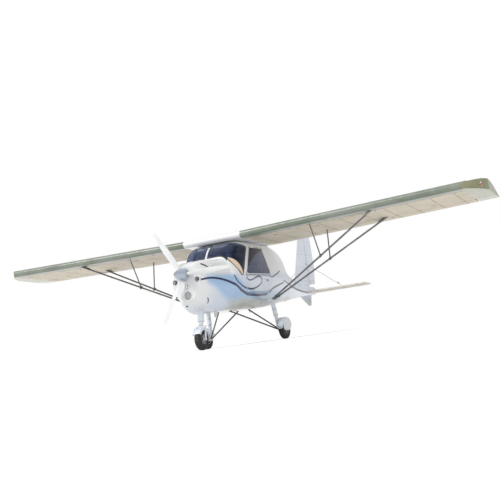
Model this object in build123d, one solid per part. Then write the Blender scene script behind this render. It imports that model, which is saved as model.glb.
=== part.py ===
from build123d import *
import os
from math import cos, radians, sin, tan

# A two-seat, high-wing ultralight aircraft parked on its three wheels.
# The nose points to -Y, the aircraft's left wing to +X, and Z is up.
# The origin lies on the ground, in the plane of symmetry, at mid-length.
# All sizes are in millimetres.

# Whole aircraft
HALF_SPAN = 4725
SPINNER_TIP_Y = -3100
RUDDER_TIP_Y = 3100

# Clearances
FIT = 0.3
PANEL_GAP = 8
OVERRUN = 40

# Wing
WING_CHORD = 1400
WING_LE_Y = -1675
WING_LIFT = 60
WING_ROOT_X = 560
TIP_START_X = 4400
TIP_CORNER_SHARE = 0.86
TIP_BOW_SHARE = 0.72
TIP_BOW_BACK_SHARE = 0.22
DIHEDRAL_DEG = 1.2
INCIDENCE_DEG = 4.5
SURFACE_SPLIT_X = 2960
SURFACE_END_GAP = 6
BRACKET_THICK = 12
WING_PIN_RADIUS = 6
WING_PIN_LENGTH = 40
WING_GAP = 8
# Section of the wing as shares of the chord: along the chord, above the chord line
NOSE_LOW_SHARE = (0.045, -0.026)
NOSE_TIP_SHARE = (0.0, 0.010)
NOSE_HIGH_SHARE = (0.060, 0.058)
CREST_SHARE = (0.34, 0.105)
HINGE_TOP_SHARE = (0.78, 0.052)
HINGE_LOW_SHARE = (0.78, -0.016)
TAIL_HALF_SHARE = 0.003

# Fuselage form
BODY_FRONT_Y = -2720
BODY_TAIL_Y = 2870
BELLY_Z = 605
BODY_HEIGHT = 1195
BODY_HALF_WIDTH = 625
# The wing stands on the roof of the body
WING_LE_Z = BELLY_Z + BODY_HEIGHT + WING_LIFT
SHELL_WALL = 12
GLASS_WALL = 4
DOOR_WALL = 25
FIREWALL_THICK = 6
COWL_SPLIT_Z = 1215
COWL_WALL = 8
# Columns: place along the body, bottom height, top height, half width of the belly,
# half width of the waist, half width of the roof, as shares
BODY_SECTION_SHARES = (
    (0.0000, 0.205, 0.650, 0.17, 0.42, 0.19),
    (0.0150, 0.150, 0.690, 0.25, 0.54, 0.27),
    (0.0700, 0.030, 0.728, 0.40, 0.74, 0.42),
    (0.1324, 0.008, 0.745, 0.58, 0.90, 0.57),
    (0.1896, 0.001, 0.975, 0.68, 0.97, 0.72),
    (0.2540, 0.000, 1.000, 0.71, 1.00, 0.82),
    (0.3400, 0.004, 1.000, 0.72, 1.00, 0.82),
    (0.4700, 0.042, 0.950, 0.66, 0.93, 0.75),
    (0.5868, 0.083, 0.740, 0.54, 0.75, 0.46),
    (0.7066, 0.129, 0.530, 0.38, 0.53, 0.26),
    (0.7907, 0.158, 0.440, 0.27, 0.36, 0.18),
    (1.0000, 0.207, 0.345, 0.06, 0.10, 0.06),
)
WAIST_SHARE = 0.46
BELLY_ROUND_SHARE = 0.42
WAIST_ROUND_SHARE = 0.50
ROOF_ROUND_SHARE = 0.42

# Windscreen, doors and their frame, in the side view
SCREEN_BASE_Y = -1965
SCREEN_BASE_Z = 1500
PILLAR_FOOT_Y = -1775
PILLAR_FOOT_Z = 1155
PILLAR_HEAD_Y = -1385
PILLAR_HEAD_Z = 1690
PILLAR_WIDTH = 78
SCREEN_TOP_Y = -1640
DOOR_REAR_Y = -690
DOOR_REAR_TOP_Y = -790
DOOR_SILL_Z = 870
DOOR_FOOT_Y = -1600
DOOR_TOP_Z = 1680
DOOR_CORNER = 60
WINDOW_SILL_Z = 1165
WINDOW_MARGIN = 28
WINDOW_CORNER = 40
DOOR_HINGE_RADIUS = 6
DOOR_HINGE_LENGTH = 70
DOOR_HINGE_DROP = 6
DOOR_PIN_RADIUS = 3
DOOR_LEAF_REACH = 40
DOOR_LEAF_THICK = 5
DOOR_LEAF_DEPTH = 40
SCREEN_LIP = 22
SCREEN_ROUND = 15
DOOR_HINGE_PLACES_SHARE = (0.22, 0.78)

# Engine and propeller
THRUST_Z = 1250
ENGINE_LENGTH = 480
ENGINE_WIDTH = 420
ENGINE_HEIGHT = 330
ENGINE_REAR_GAP = 110
MOUNT_TUBE_RADIUS = 12
GEARBOX_RADIUS = 70
SHAFT_RADIUS = 28
SPINNER_RADIUS = 112
SPINNER_BASE_Y = -2785
SPINNER_PLATE = 8
SPINNER_WALL = 3
SPINNER_BOW_SHARE = 0.5
SPINNER_BOW_RADIUS_SHARE = 0.70
FLANGE_THICK = 14
MOUNT_INSET = 40
MOUNT_HEIGHT_SHARE = (0.2, 0.8)
BLADE_ROOT_RADIUS = 24
BLADE_HOLE_RADIUS = 38
BLADE_SOCKET_SHARE = 0.14
BLADE_COUNT = 3
PROP_RADIUS = 860
HUB_RADIUS = 62
HUB_LENGTH = 110
BLADE_START_ANGLE = 90
# Columns: place along the blade, chord, thickness as shares; twist in degrees
BLADE_SECTIONS = (
    (0.10, 0.058, 0.050, 44),
    (0.30, 0.110, 0.022, 32),
    (0.70, 0.102, 0.012, 19),
    (1.00, 0.050, 0.006, 12),
)

# Cowl openings
INLET_X = 205
INLET_Z = 1150
INLET_RADIUS = 52
LAMP_Z = 1052
LAMP_RADIUS = 45
INTAKE_Z = 905
INTAKE_RADIUS = 78
OPENING_DEPTH = 150
LIP_WALL = 8
LAMP_GLASS = 10
LAMP_SINK = 4
LIP_OUT = 10
EXHAUST_Y = -2180
EXHAUST_X = 170
EXHAUST_RADIUS = 24
EXHAUST_DROP = 90
TUBE_WALL = 2

# Main gear
WHEEL_X = 790
MAIN_WHEEL_Y = -844
TYRE_RADIUS = 178
TYRE_WIDTH = 108
RIM_RADIUS = 80
RIM_WIDTH = 92
RIM_WEB = 16
HUB_OUTER = 34
RIM_WALL = 6
TYRE_BEAD_SHARE = 0.72
TYRE_SIDE_SHARE = 0.5
TREAD_SHARE = 0.72
TREAD_RADIUS_SHARE = 0.955
NUT_THICK = 12
NUT_RADIUS = 20
AXLE_RADIUS = 12
AXLE_END_X = 862
LEG_TOP_X = 655
LEG_TOP_Y = -905
LEG_TOP_Z = 712
LEG_RADIUS = 40
LEG_SLEEVE_SHARE = 0.52
LEG_LOWER_RADIUS = 34
LUG_X = 700
LUG_THICK = 16
LUG_RADIUS = 34
LUG_HEIGHT = 60
LEG_RING_LENGTH = 14
LEG_RING_STEP = 5
DRAG_SINK = 40
CROSS_TUBE_RADIUS = 30
DRAG_RADIUS = 13
DRAG_FRONT_Y = -1590
DRAG_REAR_Y = -760
DRAG_X = 60
DRAG_SPREAD = 17
SPAT_FRONT_Y = -1064
SPAT_TAIL_Y = -500
SPAT_TOP_Z = 384
SPAT_LOW_Z = 128
SPAT_WALL = 6
SPAT_MOUTH = 14
SPAT_CLEAR = 8
SPAT_ROUND_SHARE = 0.55
# Columns: place along the spat, size of the section
SPAT_SHARES = ((0.0, 0.05), (0.06, 0.55), (0.20, 0.88), (0.40, 1.0), (0.68, 0.72), (1.0, 0.05))

# Nose gear
NOSE_WHEEL_Y = -2463
NOSE_LEG_TOP_Y = -2360
NOSE_SLIDER_TOP_Z = 640
NOSE_RING_LENGTH = 18
NOSE_STAY_X = 110
NOSE_STAY_Z = 760
FORK_TYRE_GAP = 20
GUARD_RADIUS = 190
GUARD_WALL = 5
GUARD_SKIRT = 40
GUARD_ARC = 120
GUARD_START = -60
NOSE_LEG_TOP_Z = 700
NOSE_LEG_LOW_Z = 470
NOSE_LEG_RADIUS = 54
NOSE_SLIDER_RADIUS = 26
NOSE_CROWN_Z = 390
NOSE_CROWN_THICK = 22
FORK_BLADE_THICK = 10
FORK_BLADE_WIDTH = 50

# Tail
TAIL_HINGE_Y = 2690
FIN_ROOT_Y = 1780
FIN_ROOT_Z = 1000
FIN_TOP_Y = 2440
FIN_THICK = 90
FIN_TOP_THICK = 50
LENS_CREST_SHARE = 0.42
TAIL_EDGE_SHARE = 0.08
RUDDER_WIDE_SHARE = 0.36
TAIL_PLATE = 6
TAIL_PLATE_REACH = 30
TAIL_PIN_LENGTH = 30
TAIL_EYE_WALL = 8
STAB_END_SHARE = 0.42
VENTRAL_TIP_CHORD = 60
VENTRAL_ROUND = 20
RUDDER_LOW_Z = 1085
RUDDER_TOP_Z = 2245
RUDDER_THICK = 60
RUDDER_LOW_Y = 3010
RUDDER_TOP_Y = 3050
VENTRAL_FRONT_Y = 1900
VENTRAL_TIP_Y = 2520
VENTRAL_TIP_Z = 620
VENTRAL_THICK = 36
STAB_Z = 912
STAB_HALF_SPAN = 1280
STAB_ROOT_LE_Y = 2230
STAB_TIP_LE_Y = 2400
STAB_HINGE_Y = 2770
STAB_THICK = 60
ELEVATOR_TIP_Y = 3085
ELEVATOR_INNER_X = 110
ELEVATOR_CLEAR_X = 270
TORQUE_RADIUS = 14
TAIL_GAP = 6
TAIL_PIN_RADIUS = 5
STAY_RADIUS = 5
STAY_Y = 2560
STAY_FIN_Z = 1560
STAY_STAB_X = 820

# Wing struts
STRUT_CHORD = 66
STRUT_THICK = 30
STRUT_UPPER_X = 2950
STRUT_FRONT_SHARE = 0.10
STRUT_REAR_SHARE = 0.70
STRUT_LOW_X = 668
STRUT_SPREAD = 80
STRUT_CREST_SHARE = 0.08
FITTING_HALF_X = 42
FITTING_HALF_Y = 86
FITTING_HALF_Z = 34
FITTING_ROUND = 10
JURY_SHARE = 0.5
JURY_TOP_X = 1800
JURY_RADIUS = 11

# Cabin fittings
SEAT_X = 270
SEAT_HALF_WIDTH = 210
SEAT_FRONT_Y = -1290
SEAT_REAR_Y = -800
SEAT_BASE_Z = 760
SEAT_PAD = 90
SEAT_BACK_TOP_Z = 1440
SEAT_BACK_LEAN = 190
SEAT_CORNER = 30
PANEL_Y = -1900
PANEL_THICK = 30
PANEL_LOW_Z = 1130
PANEL_HIGH_Z = 1400
CONSOLE_WIDTH = 90
CONSOLE_FRONT_Y = -1560
STICK_RADIUS = 11
STICK_Y = -1420
STICK_TOP_Z = 1130
GRIP_RADIUS = 18
GRIP_LENGTH = 110
FRAME_TUBE_RADIUS = 20
FRAME_TUBE_TOP_Y = -1600
SIDE_TUBE_X = 330

# Small pieces
PITOT_X = 2820
PITOT_SHARE = 0.60
PITOT_DROP = 90
PITOT_LENGTH = 260
PITOT_RADIUS = 7
ANTENNA_Y = -520
ANTENNA_LENGTH = 90
ANTENNA_RADIUS = 5
ANTENNA_RAKE = 12

BODY_LENGTH = BODY_TAIL_Y - BODY_FRONT_Y
FIREWALL_Y = BODY_FRONT_Y + BODY_SECTION_SHARES[3][0] * BODY_LENGTH
SPLIT_LOW_X = SURFACE_SPLIT_X - BRACKET_THICK / 2
HUB_REAR_Y = SPINNER_BASE_Y + SPINNER_PLATE
TYRE_BEAD_RADIUS = RIM_RADIUS + FIT
NOSE_FORK_HALF = TYRE_WIDTH / 2 + FORK_TYRE_GAP


def vec(start, end):
    return Vector(*end) - Vector(*start)


def rod(start, end, radius):
    """Round bar between two points."""
    along = vec(start, end)
    return Plane(origin=start, z_dir=along) * Cylinder(
        radius, along.length, align=(Align.CENTER, Align.CENTER, Align.MIN))


def box(low, high):
    """Block between two opposite corners."""
    size = vec(low, high)
    return Pos(*low) * Box(size.X, size.Y, size.Z, align=(Align.MIN, Align.MIN, Align.MIN))


def side_prism(points, radii, x_low, x_high):
    """Outline in the side view (y, z), with rounded corners, from x_low to x_high."""
    plane = Plane(origin=(x_low, 0, 0), x_dir=(0, 1, 0), z_dir=(1, 0, 0))
    outline = make_face(FilletPolyline(*points, radius=radii, close=True))
    return extrude(plane * outline, amount=x_high - x_low)


def plan_prism(points, z_low, z_high):
    """Outline in the plan view (x, y), from z_low to z_high."""
    outline = make_face(Polyline(*points, close=True))
    return extrude(Pos(0, 0, z_low) * outline, amount=z_high - z_low)


def mirrored(solid):
    return mirror(solid, about=Plane.YZ)


def streamlined(start, end, chord, thick):
    """Strut of lens section between two points, its chord along the flight direction."""
    along = vec(start, end).normalized()
    forward = Vector(0, 1, 0)
    across = (forward - along * forward.dot(along)).normalized()
    plane = Plane(origin=start, x_dir=across, z_dir=along)
    nose = (-chord / 2, 0)
    tail = (chord / 2, 0)
    top = ThreePointArc(nose, (-chord * STRUT_CREST_SHARE, thick / 2), tail)
    low = ThreePointArc(tail, (-chord * STRUT_CREST_SHARE, -thick / 2), nose)
    return extrude(plane * make_face(top + low), amount=vec(start, end).length)


# Fuselage form: one loft that every skin panel is cut from

def body_y(share):
    return BODY_FRONT_Y + share * BODY_LENGTH


def body_z(share):
    return BELLY_Z + share * BODY_HEIGHT


def body_section(row, inset):
    place, low, high, belly, waist, roof = row
    bottom = body_z(low) + inset
    top = body_z(high) - inset
    belly_x = belly * BODY_HALF_WIDTH - inset
    waist_x = waist * BODY_HALF_WIDTH - inset
    roof_x = roof * BODY_HALF_WIDTH - inset
    waist_z = bottom + WAIST_SHARE * (top - bottom)
    right = ((belly_x, bottom), (waist_x, waist_z), (roof_x, top))
    left = tuple((-x, z) for x, z in reversed(right))
    round_low = BELLY_ROUND_SHARE * min(belly_x, waist_z - bottom)
    round_mid = WAIST_ROUND_SHARE * (top - bottom)
    round_top = ROOF_ROUND_SHARE * min(roof_x, top - waist_z)
    radii = (round_low, round_mid, round_top, round_top, round_mid, round_low)
    plane = Plane(origin=(0, body_y(place), 0), x_dir=(1, 0, 0), z_dir=(0, -1, 0))
    return plane * make_face(FilletPolyline(*right, *left, radius=radii, close=True))


def body_form(rows, inset):
    """Smooth loft through a run of sections, each moved inwards by inset."""
    return loft([body_section(row, inset) for row in rows])


NOSE_ROWS = BODY_SECTION_SHARES[:4]
CABIN_ROWS = BODY_SECTION_SHARES[3:9]
TAIL_ROWS = BODY_SECTION_SHARES[8:]
CABIN_OUTER = body_form(CABIN_ROWS, 0)
CABIN_INNER = body_form(CABIN_ROWS, SHELL_WALL)
CABIN_ROOM = body_form(CABIN_ROWS, SHELL_WALL + FIT)
NOSE_OUTER = body_form(NOSE_ROWS, 0)
TAIL_CONE = body_form(TAIL_ROWS, 0)


def largest(shape):
    return shape.solids().sort_by(SortBy.VOLUME)[-1]


def skin_x(y, z):
    """Half width of the cabin's skin at a station and height."""
    ray = Line((0, y, z), (BODY_HALF_WIDTH + OVERRUN, y, z))
    inside = CABIN_OUTER & ray
    return max(vertex.X for vertex in inside.vertices())


def export(node, shape):
    solids = shape.solids()
    if len(solids) == 1:
        export_step(solids[0], f"parts/{node}.step")
    else:
        export_step(Compound(children=list(solids)), f"parts/{node}.step")


# Wing

def wing_plane(x):
    """Plane of the wing's section at span station x, chord along its x, span along its z."""
    dihedral = radians(DIHEDRAL_DEG)
    incidence = radians(INCIDENCE_DEG)
    rise = (x - WING_ROOT_X) * tan(dihedral)
    span_dir = (cos(dihedral), 0, sin(dihedral))
    chord_dir = Vector(0, cos(incidence), -sin(incidence))
    return Plane(origin=(x, WING_LE_Y, WING_LE_Z + rise), x_dir=chord_dir, z_dir=span_dir)


def chord_point(share):
    return (share[0] * WING_CHORD, share[1] * WING_CHORD)


def wing_point(x, along_share, above):
    """Point at span station x, a share of the chord aft and a height above the chord line."""
    point = wing_plane(x).from_local_coords((along_share * WING_CHORD, above, 0))
    return (point.X, point.Y, point.Z)


def hinge_middle():
    """Chord place, height and half thickness of the wing at the hinge line."""
    along, high = chord_point(HINGE_TOP_SHARE)
    low = chord_point(HINGE_LOW_SHARE)[1]
    return along, (high + low) / 2, (high - low) / 2


def main_outline():
    """Wing section ahead of the hinge, ended by a flat rear spar."""
    along, middle, half = hinge_middle()
    spar = along - half - WING_GAP
    nose = ThreePointArc(chord_point(NOSE_LOW_SHARE), chord_point(NOSE_TIP_SHARE),
                         chord_point(NOSE_HIGH_SHARE))
    top = ThreePointArc(chord_point(NOSE_HIGH_SHARE), chord_point(CREST_SHARE),
                        chord_point(HINGE_TOP_SHARE))
    back = Polyline(chord_point(HINGE_TOP_SHARE), chord_point(HINGE_LOW_SHARE),
                    chord_point(NOSE_LOW_SHARE))
    whole = make_face(nose + top + back)
    rear = Pos(spar + WING_CHORD / 2, 0) * Rectangle(WING_CHORD, WING_CHORD)
    return whole - rear


def full_outline():
    """Whole wing section."""
    nose = ThreePointArc(chord_point(NOSE_LOW_SHARE), chord_point(NOSE_TIP_SHARE),
                         chord_point(NOSE_HIGH_SHARE))
    top = ThreePointArc(chord_point(NOSE_HIGH_SHARE), chord_point(CREST_SHARE),
                        chord_point(HINGE_TOP_SHARE))
    tail = TAIL_HALF_SHARE * WING_CHORD
    back = Polyline(chord_point(HINGE_TOP_SHARE), (WING_CHORD, tail), (WING_CHORD, -tail),
                    chord_point(HINGE_LOW_SHARE), chord_point(NOSE_LOW_SHARE))
    return make_face(nose + top + back)


def surface_outline():
    """Section of an aileron or flap, its round nose about the hinge."""
    along, middle, half = hinge_middle()
    tail = TAIL_HALF_SHARE * WING_CHORD
    nose = ThreePointArc((along, middle - half), (along - half, middle), (along, middle + half))
    back = Polyline((along, middle + half), (WING_CHORD, tail), (WING_CHORD, -tail),
                    (along, middle - half))
    return make_face(nose + back)


def span_prism(outline, x_low, x_high):
    length = (x_high - x_low) / cos(radians(DIHEDRAL_DEG))
    return extrude(wing_plane(x_low) * outline, amount=length)


def hinge_pin(x, toward, radius, length):
    """Pin on the wing's hinge line from station x, outboard or inboard."""
    along, middle, half = hinge_middle()
    start = wing_plane(x).from_local_coords((along, middle, 0))
    end = wing_plane(x).from_local_coords((along, middle, toward * length))
    return rod((start.X, start.Y, start.Z), (end.X, end.Y, end.Z), radius)


# Columns: inner face of a hinge bracket, the sides that its pins point to
BRACKET_STATIONS = (
    (WING_ROOT_X, (1,)),
    (SPLIT_LOW_X, (-1, 1)),
    (TIP_START_X - BRACKET_THICK, (-1,)),
)


def hinge_bracket(x):
    """Plate from the rear spar around the hinge."""
    along, middle, half = hinge_middle()
    start = along - half - WING_GAP - BRACKET_THICK
    length = along - start
    plate = Pos(start + length / 2, middle) * Rectangle(length, half)
    eye = Pos(along, middle) * Circle(half / 2)
    return span_prism(plate + eye, x, x + BRACKET_THICK)


def make_wing():
    wing = span_prism(main_outline(), WING_ROOT_X, TIP_START_X)
    for x, sides in BRACKET_STATIONS:
        wing += hinge_bracket(x)
        for side in sides:
            start = x + BRACKET_THICK if side > 0 else x
            wing += hinge_pin(start, side, WING_PIN_RADIUS, WING_PIN_LENGTH)
    return wing


def make_surface(x_low, x_high):
    """Aileron or flap between two brackets, bored for their pins."""
    surface = span_prism(surface_outline(), x_low + SURFACE_END_GAP, x_high - SURFACE_END_GAP)
    bore = WING_PIN_RADIUS + FIT
    surface -= hinge_pin(x_low, 1, bore, WING_PIN_LENGTH)
    surface -= hinge_pin(x_high, -1, bore, WING_PIN_LENGTH)
    return surface


def make_wing_tip():
    """Moulded tip, its leading edge curving back to the rear corner."""
    block = span_prism(full_outline(), TIP_START_X + FIT, HALF_SPAN)
    reach = HALF_SPAN - TIP_START_X
    front = WING_LE_Y
    corner = WING_LE_Y + TIP_CORNER_SHARE * WING_CHORD
    bow = (TIP_START_X + TIP_BOW_SHARE * reach, front + TIP_BOW_BACK_SHARE * WING_CHORD)
    edge = ThreePointArc((TIP_START_X, front), bow, (HALF_SPAN, corner))
    outside = Polyline((HALF_SPAN, corner), (HALF_SPAN + OVERRUN, corner),
                       (HALF_SPAN + OVERRUN, front - OVERRUN), (TIP_START_X, front - OVERRUN),
                       (TIP_START_X, front))
    cutter = extrude(make_face(edge + outside), amount=WING_LE_Z + BODY_HEIGHT)
    return block - cutter


def make_roof_fairing():
    """Airfoil-shaped roof between the two wing roots, seated on the cabin."""
    incidence = radians(INCIDENCE_DEG)
    flat = Plane(origin=(-WING_ROOT_X - OVERRUN, WING_LE_Y, WING_LE_Z),
                 x_dir=Vector(0, cos(incidence), -sin(incidence)), z_dir=(1, 0, 0))
    block = extrude(flat * full_outline(), amount=2 * WING_ROOT_X + 2 * OVERRUN)
    reach = BODY_LENGTH
    beyond = wing_plane(WING_ROOT_X) * Box(reach, reach, reach,
                                           align=(Align.CENTER, Align.CENTER, Align.MIN))
    block = block - beyond - mirrored(beyond)
    return largest(block - body_form(CABIN_ROWS, -FIT))


# Cabin panels

def screen_cut():
    """Side view of the windscreen: base, pillar and roof edge."""
    reach = BODY_HALF_WIDTH + OVERRUN
    points = ((SCREEN_BASE_Y, SCREEN_BASE_Z), (PILLAR_FOOT_Y, PILLAR_FOOT_Z),
              (PILLAR_HEAD_Y, PILLAR_HEAD_Z), (SCREEN_TOP_Y, body_z(1) - SCREEN_LIP),
              (SCREEN_TOP_Y, body_z(1) + OVERRUN), (SCREEN_BASE_Y, body_z(1) + OVERRUN))
    return side_prism(points, SCREEN_ROUND, -reach, reach)


def pillar_y(z):
    """Rear edge of the windscreen pillar at a height."""
    lean = (PILLAR_HEAD_Y - PILLAR_FOOT_Y) / (PILLAR_HEAD_Z - PILLAR_FOOT_Z)
    return PILLAR_FOOT_Y + PILLAR_WIDTH + lean * (z - PILLAR_FOOT_Z)


def door_cut(inset):
    """Outline of the left door in the side view, moved inwards by inset."""
    points = ((DOOR_FOOT_Y + inset, DOOR_SILL_Z + inset),
              (DOOR_REAR_Y - inset, DOOR_SILL_Z + inset),
              (DOOR_REAR_Y - inset, WINDOW_SILL_Z),
              (DOOR_REAR_TOP_Y - inset, DOOR_TOP_Z - inset),
              (pillar_y(DOOR_TOP_Z) + inset, DOOR_TOP_Z - inset),
              (pillar_y(WINDOW_SILL_Z) + inset, WINDOW_SILL_Z))
    return side_prism(points, DOOR_CORNER, 0, BODY_HALF_WIDTH + OVERRUN)


def window_cut(inset):
    """Outline of the left door's window, moved inwards by inset."""
    edge = WINDOW_MARGIN + inset
    low = WINDOW_SILL_Z + edge
    high = DOOR_TOP_Z - edge
    points = ((pillar_y(low) + edge, low), (DOOR_REAR_Y - edge, low),
              (DOOR_REAR_TOP_Y - edge, high), (pillar_y(high) + edge, high))
    return side_prism(points, WINDOW_CORNER, 0, BODY_HALF_WIDTH + OVERRUN)


def hinge_place():
    """Front-view place of the left door's hinge line."""
    middle = (DOOR_REAR_TOP_Y + pillar_y(DOOR_TOP_Z)) / 2
    return skin_x(middle, DOOR_TOP_Z) + DOOR_HINGE_RADIUS, DOOR_TOP_Z + DOOR_HINGE_DROP


def hinge_stations():
    front = pillar_y(DOOR_TOP_Z)
    length = DOOR_REAR_TOP_Y - front
    return [front + share * length for share in DOOR_HINGE_PLACES_SHARE]


def door_barrel(y_low, y_high, radius):
    x, z = hinge_place()
    return rod((x, y_low, z), (x, y_high, z), radius)


def make_cabin():
    """Hollow cabin from the firewall to the rear bulkhead, cut for glass and doors."""
    shell = CABIN_OUTER - CABIN_INNER
    shell -= screen_cut()
    door = door_cut(0)
    shell -= door
    shell -= mirrored(door)
    x, z = hinge_place()
    for y in hinge_stations():
        knuckles = door_barrel(y - DOOR_HINGE_LENGTH, y - DOOR_HINGE_LENGTH / 2 - FIT,
                               DOOR_HINGE_RADIUS)
        knuckles += door_barrel(y + DOOR_HINGE_LENGTH / 2 + FIT, y + DOOR_HINGE_LENGTH,
                                DOOR_HINGE_RADIUS)
        knuckles += door_barrel(y - DOOR_HINGE_LENGTH, y + DOOR_HINGE_LENGTH,
                                DOOR_PIN_RADIUS)
        for start in (y - DOOR_HINGE_LENGTH, y + DOOR_HINGE_LENGTH / 2 + FIT):
            leaf = box((x - DOOR_LEAF_REACH, start, z),
                       (x + DOOR_HINGE_RADIUS - FIT, start + DOOR_HINGE_LENGTH / 2 - FIT,
                        z + DOOR_LEAF_THICK))
            knuckles += leaf - CABIN_INNER
        shell += knuckles
        shell += mirrored(knuckles)
    tube = cross_tube(CROSS_TUBE_RADIUS + FIT)
    return largest(shell - tube)


def make_windscreen():
    skin = CABIN_OUTER - body_form(CABIN_ROWS, GLASS_WALL)
    return largest(skin & screen_cut())


def make_door():
    """Left door panel with its window cut out and two hinge barrels along its top."""
    skin = CABIN_OUTER - body_form(CABIN_ROWS, DOOR_WALL)
    panel = skin & door_cut(PANEL_GAP)
    panel -= window_cut(0)
    panel = largest(panel)
    x, z = hinge_place()
    for y in hinge_stations():
        low = y - DOOR_HINGE_LENGTH / 2
        high = y + DOOR_HINGE_LENGTH / 2
        barrel = door_barrel(low, high, DOOR_HINGE_RADIUS)
        leaf = box((x - DOOR_HINGE_RADIUS, low, DOOR_TOP_Z - DOOR_LEAF_DEPTH),
                   (x + DOOR_HINGE_RADIUS, high, z))
        barrel += leaf - CABIN_OUTER
        barrel -= door_barrel(low - FIT, high + FIT, DOOR_PIN_RADIUS + FIT)
        panel += barrel
    return largest(panel)


def make_door_glass():
    skin = CABIN_OUTER - body_form(CABIN_ROWS, GLASS_WALL)
    return largest(skin & window_cut(FIT))


def make_firewall():
    section = body_section(CABIN_ROWS[0], SHELL_WALL + FIT)
    plate = extrude(section, amount=FIREWALL_THICK, dir=(0, 1, 0))
    return plate


# Cowl, engine and propeller

def ahead(x, z, radius, y_low, y_high):
    """Cylinder along the flight direction."""
    return rod((x, y_low, z), (x, y_high, z), radius)


def make_cowl():
    """Hollow cowl with its inlets, lamp seat, intake and shaft hole."""
    room = body_form(NOSE_ROWS, COWL_WALL)
    front = BODY_FRONT_Y + COWL_WALL
    reach = BODY_HALF_WIDTH
    keep = box((-reach, front, 0), (reach, body_y(NOSE_ROWS[-1][0]) + OVERRUN, WING_LE_Z))
    shell = NOSE_OUTER - (room & keep)
    for x, z, radius in openings():
        rim = ahead(x, z, radius, BODY_FRONT_Y - LIP_OUT, BODY_FRONT_Y + OPENING_DEPTH)
        hole = ahead(x, z, radius - LIP_WALL, BODY_FRONT_Y - OVERRUN,
                     BODY_FRONT_Y + OPENING_DEPTH + OVERRUN)
        shell += rim
        shell -= hole
    shell -= ahead(0, THRUST_Z, GEARBOX_RADIUS + PANEL_GAP, BODY_FRONT_Y - OVERRUN,
                   BODY_FRONT_Y + OVERRUN)
    shell -= nose_leg_bar(NOSE_LEG_RADIUS + FIT)
    shell -= exhaust_bar(EXHAUST_RADIUS + FIT)
    return shell


def openings():
    """Round openings of the lower cowl: place across, height, radius."""
    return ((INLET_X, INLET_Z, INLET_RADIUS), (-INLET_X, INLET_Z, INLET_RADIUS),
            (0, LAMP_Z, LAMP_RADIUS), (0, INTAKE_Z, INTAKE_RADIUS))


def split_cowl(cowl):
    """Upper and lower halves, a hair apart."""
    reach = BODY_HALF_WIDTH
    front = BODY_FRONT_Y - OVERRUN
    rear = FIREWALL_Y + OVERRUN
    upper = cowl - box((-reach, front, 0), (reach, rear, COWL_SPLIT_Z + FIT))
    lower = cowl - box((-reach, front, COWL_SPLIT_Z), (reach, rear, WING_LE_Z))
    return largest(upper), largest(lower)


def make_lamp():
    return ahead(0, LAMP_Z, LAMP_RADIUS - LIP_WALL - FIT, BODY_FRONT_Y + LAMP_SINK,
                 BODY_FRONT_Y + LAMP_SINK + LAMP_GLASS)


def make_engine():
    """Plain block with its gearbox and the shaft flange."""
    rear = FIREWALL_Y - ENGINE_REAR_GAP
    front = rear - ENGINE_LENGTH
    low = THRUST_Z - ENGINE_HEIGHT + GEARBOX_RADIUS
    block = box((-ENGINE_WIDTH / 2, front, low), (ENGINE_WIDTH / 2, rear, low + ENGINE_HEIGHT))
    block += ahead(0, THRUST_Z, GEARBOX_RADIUS, BODY_FRONT_Y - FIT, front)
    block += ahead(0, THRUST_Z, SHAFT_RADIUS, HUB_REAR_Y + FIT, front)
    block += ahead(0, THRUST_Z, HUB_RADIUS, HUB_REAR_Y + FIT, HUB_REAR_Y + FLANGE_THICK)
    for x_side in (1, -1):
        for z_share in MOUNT_HEIGHT_SHARE:
            x = x_side * (ENGINE_WIDTH / 2 - MOUNT_INSET)
            z = low + z_share * ENGINE_HEIGHT
            block += ahead(x, z, MOUNT_TUBE_RADIUS, rear, FIREWALL_Y)
    return block


def exhaust_bar(radius):
    start = (EXHAUST_X, EXHAUST_Y, THRUST_Z - ENGINE_HEIGHT + GEARBOX_RADIUS)
    end = (EXHAUST_X, EXHAUST_Y, BELLY_Z - EXHAUST_DROP)
    return rod(start, end, radius)


def make_exhaust():
    return exhaust_bar(EXHAUST_RADIUS) - exhaust_bar(EXHAUST_RADIUS - TUBE_WALL)


def make_blade():
    """One blade standing up from the hub: lens sections, twisted along the radius."""
    sections = []
    for place, chord_share, thick_share, twist in BLADE_SECTIONS:
        chord = chord_share * PROP_RADIUS
        thick = thick_share * PROP_RADIUS
        low = (-chord / 2, 0)
        high = (chord / 2, 0)
        lens = ThreePointArc(low, (0, thick / 2), high) + ThreePointArc(high, (0, -thick / 2), low)
        angle = radians(twist)
        plane = Plane(origin=(0, 0, place * PROP_RADIUS), x_dir=(cos(angle), sin(angle), 0),
                      z_dir=(0, 0, 1))
        sections.append(plane * make_face(lens))
    blade = loft(sections)
    blade += rod((0, 0, 0), (0, 0, BLADE_SOCKET_SHARE * PROP_RADIUS), BLADE_ROOT_RADIUS)
    return blade


def make_propeller():
    """Hub, spinner plate and blades."""
    middle = HUB_REAR_Y - HUB_LENGTH / 2
    prop = ahead(0, THRUST_Z, HUB_RADIUS, HUB_REAR_Y - HUB_LENGTH, HUB_REAR_Y)
    prop += ahead(0, THRUST_Z, SPINNER_RADIUS, SPINNER_BASE_Y, SPINNER_BASE_Y + SPINNER_PLATE)
    blade = make_blade()
    for number in range(BLADE_COUNT):
        angle = BLADE_START_ANGLE + number * 360 / BLADE_COUNT
        prop += Pos(0, middle, THRUST_Z) * Rot(0, angle, 0) * blade
    return prop


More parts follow.
